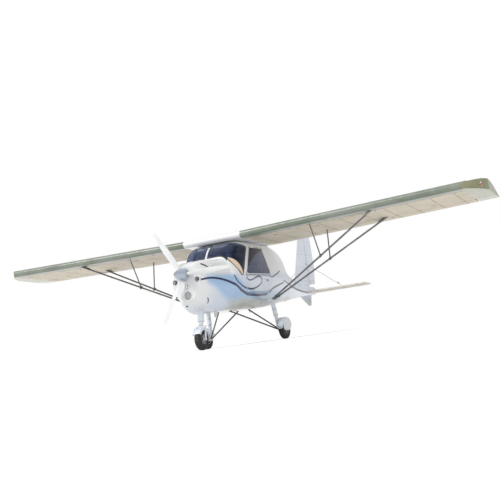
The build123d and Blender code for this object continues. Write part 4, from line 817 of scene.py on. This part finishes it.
def screen_details():
    skin = tree_of("windscreen", "cabin_shell", "cowl_upper")
    glass_skin = tree_of("windscreen")
    seal, reflection_band = Shape(), Shape()
    for side in (1, -1):
        line = curve_points(on_side(side, ((-1.960, 1.49), (-1.870, 1.33), (-1.778, 1.162),
                                           (-1.690, 1.270), (-1.540, 1.477), (-1.400, 1.668))), 0.02)
        for part in (line[:20], line[21:]):
            seal.band(skin, part, X_AXIS * side, 0.012, 0.0025)
    seal.band(skin, [(x * 0.02, -1.958, 2.0) for x in range(-20, 21)], Z_AXIS, 0.014, 0.003)
    seal.make("screen_seal", SEAL)

    # Cream bands laid on the lower sides of the glass: a painted warm reflection.
    for side in (1, -1):
        line, widths = [], []
        for i in range(31):
            share = i / 30
            wide = 0.020 + 0.085 * math.sin(math.pi * share) ** 0.8
            gap = wide / 2 + 0.010
            line.append((side, -1.950 + 0.165 * share + 0.876 * gap, 1.473 - 0.300 * share + 0.482 * gap))
            widths.append(wide)
        reflection_band.band(glass_skin, line, X_AXIS * side, widths, 0.0012, sink=0.001, cells=8)
    reflection_band.make("screen_side_reflection", PAINTED_SCREEN_REFLECTION)

    line = curve_points(on_side(0.010, ((-1.760, 1.45), (-1.735, 1.52), (-1.690, 1.62),
                                        (-1.660, 1.72))), 0.02)
    Shape().band(skin, line, -Y_AXIS, 0.034, 0.007, cells=6).make(
        "screen_post", WHITE, slot="cabin_plastic")
    Shape().solid([(-0.030, 0.022), (-0.022, 0.030), (0.022, 0.030), (0.030, 0.024)],
                  (0.0, -1.700, 1.560), Y_AXIS, 28).make("compass", BLACK)


def door_details(side, sign):
    body = "door_" + side
    out = X_AXIS * sign
    skin = tree_of(body, "door_glass_" + side)
    seal, handle, rivets = Shape(), Shape(), Shape()
    m = WINDOW_MARGIN
    top = 1.680 - m
    low = 1.165 + 0.002
    corners = ((pillar(low) + m + 0.004, low), (-0.690 - m, low), (-0.700 - m, low + 0.05),
               (-0.790 - m, top), (pillar(top) + m + 0.002, top), (pillar(low) + m + 0.004, low))
    for pair in zip(corners, corners[1:]):
        seal.band(skin, spots_along(on_side(sign, pair), 0.018), out, 0.013, 0.003)
    seal.make("window_seal_" + side, SEAL, body)

    spot = cast(skin, (0, -0.815, 1.075), out)[0]
    handle.solid([(-0.004, 0.030), (0.003, 0.030), (0.005, 0.026)], spot, out, 32)
    handle.tube([spot, spot + out * 0.022], 0.009, 14)
    handle.tube(curve_points([spot + Vector((sign * x, y, z)) for x, y, z in (
        (0.020, 0.014, 0.0), (0.024, -0.030, 0.001), (0.022, -0.090, 0.004))], 0.01), 0.009, 14, flat=0.55)
    handle.make("door_handle_" + side, STEEL, body)
    Shape().solid([(-0.003, 0.012), (0.002, 0.012), (0.003, 0.009), (0.003, 0.003), (0.001, 0.003)],
                  cast(skin, (0, -0.775, 1.010), out)[0], out, 24).make("door_lock_" + side, BARE, body)
    fasteners(rivets, skin, on_side(sign, ((-1.56, 0.895), (-0.75, 0.895))), out, 0.16, 0.004)
    rivets.make("door_rivets_" + side, BARE, body)


# ---- cabin
PANEL_DIALS = ((0.36, 1.320, 0.036), (0.27, 1.320, 0.036), (0.18, 1.320, 0.036),
               (0.36, 1.225, 0.036), (0.27, 1.225, 0.036), (0.18, 1.225, 0.036),
               (0.07, 1.335, 0.024), (0.00, 1.335, 0.024), (-0.07, 1.335, 0.024),
               (0.07, 1.270, 0.024), (0.00, 1.270, 0.024), (-0.07, 1.270, 0.024))


def mark(shape, centre, angle, reach, half, taper, high, thick):
    """A flat stroke on a dial, between two shares of its radius."""
    ahead = radial(angle)
    over = Vector((-ahead.z, 0, ahead.x)) * half
    a, b = [centre + ahead * length + Y_AXIS * high for length in reach]
    shape.slab([a - over, a + over, b + over * taper, b - over * taper], (0, thick, 0))


def dial(face, rim, marks, centre, radius):
    face.solid([(-0.002, radius), (0.002, radius)], centre, Y_AXIS, 32)
    rim.turn(((-0.001, radius * 0.98), (0.006, radius * 0.98), (0.007, radius * 1.06),
              (0.004, radius * 1.14), (-0.001, radius * 1.14), (-0.001, radius * 0.98)),
             centre, Y_AXIS, 32)
    for i in range(12):
        mark(marks, centre, 2 * math.pi * i / 12, (radius * 0.72, radius * 0.90), 0.0012, 1, 0.0021, 0.0006)
    mark(marks, centre, 0.6 + centre.x * 9, (-radius * 0.15, radius * 0.66), 0.0018, 0.3, 0.0028, 0.0008)


def panel_details():
    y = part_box("instrument_panel")[1].y
    face, rim, marks, knobs, cover = Shape(), Shape(), Shape(), Shape(), Shape()
    for x, z, radius in PANEL_DIALS:
        dial(face, rim, marks, Vector((x, y, z)), radius)
    face.slab([(-0.34, y, 1.240), (-0.16, y, 1.240), (-0.16, y, 1.345), (-0.34, y, 1.345)],
              (0, 0.004, 0))
    face.make("dial_faces", DIAL)
    rim.make("dial_rims", BLACK, slot="dark_metal")
    marks.make("dial_marks", WHITE, slot="cabin_plastic")
    for i in range(6):
        x = -0.09 + 0.036 * i
        knobs.tube([(x, y - 0.002, 1.190), (x, y + 0.016, 1.194)], 0.0035, 10)
    knobs.tube([(-0.02, y - 0.002, 1.160), (-0.02, y + 0.075, 1.160)], 0.005, 12)
    knobs.turn(((0, ON_AXIS), (0, 0.014), (0.012, 0.018), (0.026, 0.014), (0.030, ON_AXIS)),
               (-0.02, y + 0.070, 1.160), Y_AXIS, 24)
    knobs.make("panel_knobs", DARK)
    top = []
    for i in range(15):
        t = i / 14
        row = []
        for j in range(25):
            x = -0.43 + 0.86 * j / 24
            drop = 0.10 * (abs(x) / 0.43) ** 3
            lift = 0.016 * math.sin(math.pi * t)
            row.append((x, -1.925 + 0.130 * t, 1.418 - drop + lift - 0.05 * t ** 4))
        top.append(row)
    bottom = [[(x, y, z - 0.010) for x, y, z in row] for row in top]
    for rows in (top, [row[::-1] for row in bottom], [top[0], bottom[0]], [bottom[-1], top[-1]],
                 [[row[0] for row in bottom], [row[0] for row in top]],
                 [[row[-1] for row in top], [row[-1] for row in bottom]]):
        cover.grid(rows)
    cover.make("dash_cover", CABIN, smooth=1)


def pedals():
    shape = Shape()
    for x in (0.17, 0.31, -0.17, -0.31):
        shape.tube([(x, -1.74, floor_at(x, -1.74) + 0.012), (x, -1.78, 0.800)], 0.008, 12)
        shape.slab([(x - 0.040, -1.790, 0.790), (x + 0.040, -1.790, 0.790),
                    (x + 0.040, -1.805, 0.885), (x - 0.040, -1.805, 0.885)], (0, 0.008, 0.001))
    shape.make("rudder_pedals", DARK, rounds=0.002)


def floor_at(x, y):
    """Height of the cabin floor under a spot."""
    return tree_of("cabin_shell")[0].ray_cast(Vector((x, y, 1.0)), -Z_AXIS)[0].z


def seat_base(x):
    """Moulded box from the cabin floor up to the cushion."""
    rows = []
    for i in range(9):
        at = x + 0.185 * (i / 4 - 1)
        low = max(floor_at(at, -1.26), floor_at(at, -0.84)) + 0.004
        top = max(0.761, low + 0.005)
        rows.append([(at, -1.265, low), (at, -0.835, low), (at, -0.830, top), (at, -1.272, top)])
    return Shape().grid(rows, closed=True, caps=True)


PAD_CELLS = 14
PAD_LAYERS = 4


def soft_block(low, high, lean):
    """A crowned pad with pulled-in sides between its corners."""
    low, high = Vector(low), Vector(high)
    size = high - low
    points, index, faces = [], {}, []

    def point(i, j, k):
        key = (i, j, k)
        if key not in index:
            u, v, w = 2 * i / PAD_CELLS - 1, 2 * j / PAD_CELLS - 1, 2 * k / PAD_LAYERS - 1
            edge = max(abs(u), abs(v))
            crown = (1 - u * u) * (1 - v * v)
            pull = 1 - 0.030 * (1 - w * w)
            thick = (0.72 + 0.28 * crown) * (1 - 0.55 * max(0.0, edge - 0.86) / 0.14)
            corner = 1 - 0.045 * (u * u * v * v)
            index[key] = len(points)
            points.append(Vector((u * size.x / 2 * corner * pull, v * size.y / 2 * corner * pull,
                                  w * size.z / 2 * thick)))
        return index[key]

    def quad(*corners):
        return [point(*corner) for corner in corners]

    for i in range(PAD_CELLS):
        for j in range(PAD_CELLS):
            for k, order in ((0, 1), (PAD_LAYERS, -1)):
                faces.append(quad((i, j, k), (i, j + 1, k), (i + 1, j + 1, k), (i + 1, j, k))[::order])
    for i in range(PAD_CELLS):
        for k in range(PAD_LAYERS):
            for j in (0, PAD_CELLS):
                faces.append(quad((i, j, k), (i + 1, j, k), (i + 1, j, k + 1), (i, j, k + 1)))
                faces.append(quad((j, i, k), (j, i + 1, k), (j, i + 1, k + 1), (j, i, k + 1)))
    turn = Matrix.Rotation(lean, 4, "X")
    middle = (low + high) / 2
    return Shape().add([middle + turn @ p for p in points], faces)


def inflate(piece, limit):
    """Blows the pad up with cloth pressure, and caps how far each point moves."""
    mesh = piece.data
    scene = bpy.context.scene

    def settled():
        """The pad's mesh with its modifiers in, which are then cleared."""
        depsgraph = bpy.context.evaluated_depsgraph_get()
        result = bpy.data.meshes.new_from_object(piece.evaluated_get(depsgraph))
        piece.modifiers.clear()
        return result

    remesh = piece.modifiers.new("voxels", "REMESH")
    remesh.mode = "VOXEL"
    remesh.voxel_size = 0.010
    bpy.context.view_layer.objects.active = piece
    start = settled()
    piece.data = start
    before = [v.co.copy() for v in start.vertices]
    cloth = piece.modifiers.new("cloth", "CLOTH").settings
    cloth.use_pressure = True
    cloth.uniform_pressure_force = 4.0
    cloth.effector_weights.gravity = 0.0
    cloth.tension_stiffness = cloth.compression_stiffness = 15
    for number in range(1, 21):
        scene.frame_set(number)
    after = settled()
    for vertex, spot in zip(after.vertices, before):
        move = vertex.co - spot
        if move.length > limit:
            vertex.co = spot + move.normalized() * limit
    piece.data = after
    scene.frame_set(1)
    after.materials.clear()
    after.materials.append(SEAT)
    for face in after.polygons:
        face.use_smooth = True
    bpy.data.meshes.remove(mesh)


def piping(piece, name, corners):
    """A sewn cord round a pad, laid on its surface."""
    mesh = piece.data
    tree = BVHTree.FromPolygons([v.co for v in mesh.vertices],
                                [list(face.vertices) for face in mesh.polygons])
    line = [tree.find_nearest(spot)[0] for spot in spots_along(corners, 0.02)[:-1]]
    Shape().tube(line, 0.005, 8, ring=True).make(name, WEBBING)


def strap(shape, path, across=X_AXIS):
    rows = []
    line = curve_points(path, 0.02)
    side = across * STRAP_HALF
    for i, spot in enumerate(line):
        over = way_at(line, i).cross(across).normalized() * STRAP_THICK / 2
        rows.append([spot - side - over, spot + side - over, spot + side + over, spot - side + over])
    shape.grid(rows, closed=True, caps=True)


def seats():
    """Two seats: a moulded base, a cushion and a back, with harness."""
    lean = math.atan2(0.19, 0.59)
    parts = {}
    for side, sign in SIDES:
        x = SEAT_X * sign
        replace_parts(seat_base(x).make("seat_base_" + side, CABIN, rounds=0.012), "seats")
        low, high = Vector((x, -0.800, 0.760)), Vector((x, -0.625, 1.420))
        rise = (high - low).normalized()
        board = Shape().slab([low - X_AXIS * 0.195, low + X_AXIS * 0.195, high + X_AXIS * 0.180,
                              high - X_AXIS * 0.180], Vector((0, rise.z, -rise.y)) * 0.014)
        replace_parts(board.make("seat_board_" + side, CABIN, rounds=0.006), "seats")
        for name, half, tilt, middle in (
                ("cushion", Vector((0.190, 0.225, 0.045)), 0.03, Vector((x, -1.060, 0.800))),
                ("back", Vector((0.185, 0.300, 0.040)), math.pi / 2 - lean, Vector((x, -0.752, 1.110)))):
            pad = soft_block(-half, half, tilt).make(f"seat_{name}_{side}", SEAT, sharp=80)
            move = middle.copy()
            if name in parts:
                # the copied mesh already stands at the left seat's place
                pad.data = parts[name].data.copy()
                move.x -= SEAT_X
                move.y = move.z = 0.0
            else:
                inflate(pad, 0.012)
                parts[name] = pad
            for vertex in pad.data.vertices:
                vertex.co += move
            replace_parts(pad, "seats")
            if name == "cushion":
                ring = [(x + 0.17 * a, y, 0.83) for a, y in (
                    (-1, -1.27), (1, -1.27), (1, -0.85), (-1, -0.85), (-1, -1.27))]
            else:
                up = Vector((0, math.sin(lean), math.cos(lean)))
                ring = [middle + Vector((0, -0.045, 0.0)) + X_AXIS * 0.165 * a + up * 0.27 * b
                        for a, b in ((-1, -1), (1, -1), (1, 1), (-1, 1), (-1, -1))]
            piping(pad, f"seat_piping_{name}_{side}", ring)
        belts = Shape()
        for step in (-0.085, 0.085):
            strap(belts, [(x + step, -0.615, 1.400), (x + step, -0.650, 1.440),
                          (x + step, -0.715, 1.395), (x + step * 0.9, -0.818, 1.180),
                          (x + step * 0.6, -0.885, 0.960), (x + step * 0.3, -0.965, 0.888)])
        strap(belts, [(x - 0.205, -0.860, 0.800), (x - 0.150, -0.940, 0.868), (x, -0.975, 0.882),
                      (x + 0.150, -0.940, 0.868), (x + 0.205, -0.860, 0.800)], Y_AXIS)
        belts.make("harness_" + side, WEBBING)
        Shape().slab([(x - 0.028, -1.000, 0.884), (x + 0.028, -1.000, 0.884), (x + 0.028, -0.950, 0.884),
                      (x - 0.028, -0.950, 0.884)], (0, 0, 0.012)).make(
            "buckle_" + side, STEEL, rounds=0.003)


def stick_boot():
    folds = [(0.006 + 0.010 * i, 0.040 - 0.0030 * i + (0.0028 if i % 2 else 0.0)) for i in range(9)]
    Shape().turn([(0.0, 0.040), (0.0, 0.042), *folds, (0.096, 0.0125), (0.098, 0.0115)],
                 (*STICK, 0.760), Z_AXIS, 32).make("stick_boot", SEAL)
    grip = Shape()
    for i in range(8):
        grip.hoop((*STICK, 1.032 + 0.012 * i), Z_AXIS, 0.0183, 0.0022, 24)
    grip.make("grip_rings", SEAL, slot="dark_metal")


# ---- landing gear
def wheel_details(name, body, x, y):
    """Tread, side ring, wheel bolts and valve of one wheel."""
    centre = Vector((x, y, TYRE_RADIUS))
    tyre, bolts = Shape(), Shape()
    for along in (-0.028, -0.0095, 0.0095, 0.028):
        low, high = along - 0.0065, along + 0.0065
        radius = TYRE_RADIUS - (0.0008 + (along / 0.039) ** 2 * 0.0079)
        tyre.turn(((low, radius - 0.006), (low + 0.001, radius + 0.0004), (high - 0.001, radius + 0.0004),
                   (high, radius - 0.006), (low, radius - 0.006)), centre, X_AXIS, 96)
    for side in (-1, 1):
        tyre.turn(((side * 0.0520, 0.117), (side * 0.0548, 0.119), (side * 0.0548, 0.121),
                   (side * 0.0520, 0.123), (side * 0.0520, 0.117)), centre, X_AXIS, 72)
        for i in range(6):
            angle = 2 * math.pi * i / 6
            spot = centre + Vector((side * 0.008, 0.055 * math.cos(angle), 0.055 * math.sin(angle)))
            bolts.bolt(spot, X_AXIS * side, 0.006, 0.006)
    tyre.make("tread_" + name, RUBBER, body)
    bolts.make("wheel_bolts_" + name, STEEL, body)
    Shape().tube([centre + Vector((out, 0, up)) for out, up in (
        (0.010, 0.072), (0.030, 0.062), (0.038, 0.058))], 0.0035, 10).make("valve_" + name, SEAL, body)


def spat_lines(side, sign):
    """Curved lines on the front and outer face of the wheel fairing, and its screws."""
    skin = tree_of("spat_" + side)
    out = X_AXIS * sign
    lines, screws = Shape(), Shape()
    for radius, start, end, wide in ((0.078, 95, 250, 0.011), (0.052, 120, 290, 0.008)):
        line = []
        for i in range(25):
            angle = math.radians(start + (end - start) * i / 24)
            line.append((sign * (MAIN_WHEEL[0] + radius * math.cos(angle)), -1.0,
                         0.262 + radius * math.sin(angle)))
        lines.band(skin, line, (0.30 * sign, -0.95, 0.05), wide, 0.0008)
    lines.make("spat_lines_" + side, NAVY)
    for y, z in ((-0.98, 0.30), (-0.90, 0.345), (-0.80, 0.345), (-0.70, 0.31), (-0.66, 0.22)):
        hit = cast(skin, (0, y, z), out)
        if hit and abs(hit[1].x) > 0.3:
            screws.dome(hit[0], hit[1], SCREW_RADIUS, 0.002)
    screws.make("spat_screws_" + side, STEEL)
    line = spots_along(on_side(sign, ((-1.03, 0.262), (-0.62, 0.262))), 0.02)
    Shape().band(skin, line, out, SEAM_WIDTH, 0.0004).make("spat_seam_" + side, GREY, slot="cabin_plastic")


def gear_details():
    for side, sign in SIDES:
        wheel_details("main_" + side, "wheel_" + side, sign * MAIN_WHEEL[0], MAIN_WHEEL[1])
        spat_lines(side, sign)
        fitting, sleeve = Shape(), Shape()
        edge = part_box("gear_cross_tube")[1 if sign > 0 else 0].x
        for y, z in ((-0.965, 0.722), (-0.845, 0.722), (-0.905, 0.700)):
            fitting.bolt((edge, y, z), X_AXIS * sign, 0.011, 0.009)
        fitting.make("fitting_bolts_" + side, STEEL)
        top = Vector((0.655 * sign, -0.905, 0.712))
        foot = Vector((0.692 * sign, MAIN_WHEEL[1], TYRE_RADIUS))
        for share, radius in ((0.30, 0.0405), (0.505, 0.0455)):
            sleeve.hoop(top.lerp(foot, share), foot - top, radius, 0.0035, 40)
        sleeve.make("leg_clamps_" + side, GREY, slot="strut_metal")
    wheel_details("nose", "nose_wheel", 0.0, NOSE_WHEEL_Y)
    top = Vector((0, -2.405, 0.470))
    way = Vector((0, -2.4205, 0.402)) - top
    folds = [(way.length * i / 10, 0.040 if i % 2 else 0.033) for i in range(11)]
    Shape().turn([(0.0, 0.027), *folds, (way.length, 0.027)], top, way, 32).make(
        "nose_boot", WHITE, "nose_fork", "cabin_plastic")
    nuts = Shape()
    for side in (-1, 1):
        nuts.bolt((side * 0.077, NOSE_WHEEL_Y, TYRE_RADIUS), X_AXIS * side, 0.019, 0.009)
        nuts.bolt((side * 0.077, -2.425, 0.372), X_AXIS * side, 0.007, 0.005)
    nuts.make("fork_nuts", STEEL, "nose_fork")


# ---- struts and tail
def strut_details(side, sign):
    skin = tree_of("wing_" + side)
    ends, bolts = Shape(), Shape()
    for share, step in ((0.10, -0.040), (0.70, 0.040)):
        low = Vector((0.668 * sign, -0.905 + step, 0.712))
        high = wing_spot(2.950 * sign, share)
        rise = (high - low).normalized()
        hit = cast(skin, high - rise * 0.12, -Z_AXIS)
        spot = (hit[0] if hit else high) - rise * 0.045
        for shift in (-0.020, 0.020):
            ends.slab([spot + Y_AXIS * shift + rise * up + X_AXIS * out for up, out in (
                (-0.060, 0.014), (0.060, 0.014), (0.060, -0.014), (-0.060, -0.014))], Y_AXIS * 0.003)
        for along in (-0.020, 0.015):
            bolts.bolt(spot + rise * along + Y_AXIS * 0.0225, Y_AXIS, 0.007, 0.006)
            bolts.bolt(spot + rise * along - Y_AXIS * 0.0195, -Y_AXIS, 0.007, 0.006)
        for cuff, half in ((low + rise * 0.120, 0.020), (low.lerp(high, 0.5), 0.018)):
            ends.tube([cuff - rise * half, cuff + rise * half], 0.0345, 20, flat=0.52)
    ends.make("strut_ends_" + side, STRUT)
    bolts.make("strut_bolts_" + side, STEEL)


def tail_details():
    fin_skin, rudder_skin, stab_skin, flap_skin = [
        tree_of(name) for name in ("fin", "rudder", "stabilizer", "elevator")]
    fin, rudder, stab, flap = Shape(), Shape(), Shape(), Shape()
    for sign in (1, -1):
        for i in range(4):
            z = 1.16 + 0.29 * i
            for shape, skin, low, high in ((fin, fin_skin, 1.81 + (z - 1.00) * 0.525, 2.65),
                                           (rudder, rudder_skin, 2.70, 3.03)):
                shape.band(skin, spots_along(((sign, low, z), (sign, high, z)), 0.03),
                           X_AXIS * sign, TAIL_TAPE_WIDTH, TAPE_HEIGHT)
            x = sign * (0.29 + 0.29 * i)
            for shape, skin, low, high in ((stab, stab_skin, 2.25 + abs(x) * 0.135, 2.75),
                                           (flap, flap_skin, 2.79, 3.07)):
                shape.both_faces(skin, spots_along(((x, low, 0.9), (x, high, 0.9)), 0.03),
                                 TAIL_TAPE_WIDTH, TAPE_HEIGHT)
    fin.make("fin_tapes", BLUE_TAPE)
    rudder.make("rudder_tapes", BLUE_TAPE, "rudder")
    stab.make("stabilizer_tapes", TAPE, slot="tail_fabric")
    flap.make("elevator_tapes", TAPE, "elevator", "tail_fabric")
    tab, horn, buckles = Shape(), Shape(), Shape()
    corners = ((0.42, 2.985), (0.80, 2.985), (0.80, 3.075))
    for out in (Z_AXIS, -Z_AXIS):
        for a, b in zip(corners, corners[1:]):
            tab.band(flap_skin, spots_along(((*a, 0.9), (*b, 0.9)), 0.02), out, SEAM_WIDTH, 0.0005)
    tab.make("trim_tab_seam", SEAL, "elevator")
    for sign in (1, -1):
        spot = cast(rudder_skin, (0, 2.735, 1.16), X_AXIS * sign)[0]
        horn.slab([spot + Vector((x * sign, y, 0)) for x, y in (
            (-0.01, -0.014), (0.060, -0.006), (0.060, 0.008), (-0.01, 0.022))], (0, 0, 0.004))
        horn.bolt(spot + Vector((0.050 * sign, 0.001, 0.004)), Z_AXIS, 0.005, 0.004)
        a = Vector((0.03 * sign, 2.560, 1.560))
        b = Vector((0.820 * sign, 2.560, 0.935))
        spot = a.lerp(b, 0.86)
        rise = (b - a).normalized()
        buckles.tube([spot + rise * step for step in (-0.035, -0.025, 0.025, 0.035)],
                     [0.006, 0.009, 0.009, 0.006], 12)
    horn.make("rudder_horn", BARE, "rudder")
    Shape().turn(((-0.010, ON_AXIS), (-0.010, 0.016), (0.010, 0.016), (0.024, 0.010), (0.030, ON_AXIS)),
                 (0.0, 2.56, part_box("fin")[1].z), Z_AXIS, 24).make("fin_lamp", CLEAR_LENS)
    buckles.make("stay_turnbuckles", BARE)
    spot = cast(tree_of("ventral_fin", "tail_cone"), (0, 2.47, 0), -Z_AXIS)[0]
    Shape().hoop(spot + Vector((0, 0, -0.014)), X_AXIS, 0.014, 0.003, 20).make("tail_ring", BARE)


def body_rivets():
    """Rivets along the joint of the cabin shell and the tail cone."""
    skin = tree_of("cabin_shell", "tail_cone")
    rivets = Shape()
    for sign in (1, -1):
        fasteners(rivets, skin, on_side(sign, ((0.575, 0.86), (0.575, 1.30))), X_AXIS * sign, 0.07, 0.004)
    rivets.make("body_rivets", BARE)


cowl_details()
intake_core()
lamp_details()
propeller_details()
screen_details()
for side, sign in SIDES:
    door_details(side, sign)
    strut_details(side, sign)
panel_details()
pedals()
seats()
stick_boot()
gear_details()
tail_details()
body_rivets()


# ---- stage, light and camera
FLOOR_HALF = 120.0
FLOOR_LIFT = 0.29
WORLD_STRENGTH = 0.68
CAMERA_PLACE = Vector((6.8924, -14.9188, 0.060))
CAMERA_TURN = -0.43601
CAMERA_RISE = 0.10326
CAMERA_ROLL = -0.13727
CAMERA_FOCAL = 861.97    # in pixels of the photograph
PHOTO_WIDTH = 500.0
SENSOR = 36.0


def stage_look(name, colour, lift):
    """A pale surface that keeps shadows and shows nearly white to the camera."""
    look = Look(name)
    rays = look.node("LightPath").outputs
    seen = look.math("MAXIMUM", rays["Is Camera Ray"], rays["Is Glossy Ray"])
    seen = look.math("MAXIMUM", seen, rays["Is Transmission Ray"])
    look.put(look.shader.inputs["Specular IOR Level"], 0.0)
    look.put(look.shader.inputs["Emission Color"], (1, 1, 1, 1))
    look.put(look.shader.inputs["Emission Strength"], look.times(seen, lift))
    return look.finish((*colour, 1), 0.9)


def make_stage():
    floor = bpy.data.meshes.new("floor")
    floor.from_pydata([(x * FLOOR_HALF, y * FLOOR_HALF, 0) for x, y in ((-1, -1), (1, -1), (1, 1), (-1, 1))],
                      [], [(0, 1, 2, 3)])
    floor.materials.append(stage_look("floor_pale", (0.80, 0.80, 0.79), FLOOR_LIFT))
    piece = bpy.data.objects.new("floor", floor)
    bpy.context.scene.collection.objects.link(piece)


def make_world():
    """White to the camera and through glass, and plainer as light."""
    world = bpy.data.worlds.new("studio")
    bpy.context.scene.world = world
    world.use_nodes = True
    tree = world.node_tree
    back = tree.nodes["Background"]
    back.inputs["Color"].default_value = (1, 1, 1, 1)
    rays = tree.nodes.new("ShaderNodeLightPath")
    seen = tree.nodes.new("ShaderNodeMath")
    seen.operation = "MAXIMUM"
    tree.links.new(rays.outputs["Is Camera Ray"], seen.inputs[0])
    tree.links.new(rays.outputs["Is Transmission Ray"], seen.inputs[1])
    strength = tree.nodes.new("ShaderNodeMapRange")
    strength.inputs["To Min"].default_value = WORLD_STRENGTH
    strength.inputs["To Max"].default_value = 1.0
    tree.links.new(seen.outputs[0], strength.inputs["Value"])
    tree.links.new(strength.outputs[0], back.inputs["Strength"])


def make_light(name, direction, power, soft):
    lamp = bpy.data.lights.new(name, "SUN")
    lamp.energy = power
    lamp.angle = math.radians(soft)
    piece = bpy.data.objects.new(name, lamp)
    piece.rotation_mode = "QUATERNION"
    piece.rotation_quaternion = Vector(direction).to_track_quat("Z", "Y")
    bpy.context.scene.collection.objects.link(piece)


def make_camera():
    """The photograph's view, with the camera just above the floor."""
    ahead = Vector((math.cos(CAMERA_RISE) * math.sin(CAMERA_TURN),
                    math.cos(CAMERA_RISE) * math.cos(CAMERA_TURN), math.sin(CAMERA_RISE)))
    right = ahead.cross(Z_AXIS).normalized()
    up = right.cross(ahead)
    tilt_right = right * math.cos(CAMERA_ROLL) + up * math.sin(CAMERA_ROLL)
    tilt_up = up * math.cos(CAMERA_ROLL) - right * math.sin(CAMERA_ROLL)
    data = bpy.data.cameras.new("camera")
    data.sensor_width = SENSOR
    data.lens = SENSOR * CAMERA_FOCAL / PHOTO_WIDTH
    data.clip_start = 0.1
    data.clip_end = 500.0
    camera = bpy.data.objects.new("camera", data)
    camera.matrix_world = Matrix((*zip(tilt_right, tilt_up, -ahead, CAMERA_PLACE), (0, 0, 0, 1)))
    bpy.context.scene.collection.objects.link(camera)
    bpy.context.scene.camera = camera


make_stage()
make_world()
make_light("key_light", (-0.45, -0.62, 0.64), 1.6, 25)
make_light("fill_light", (0.80, -0.45, 0.30), 0.35, 60)
make_camera()
bpy.context.scene.view_settings.view_transform = "Standard"
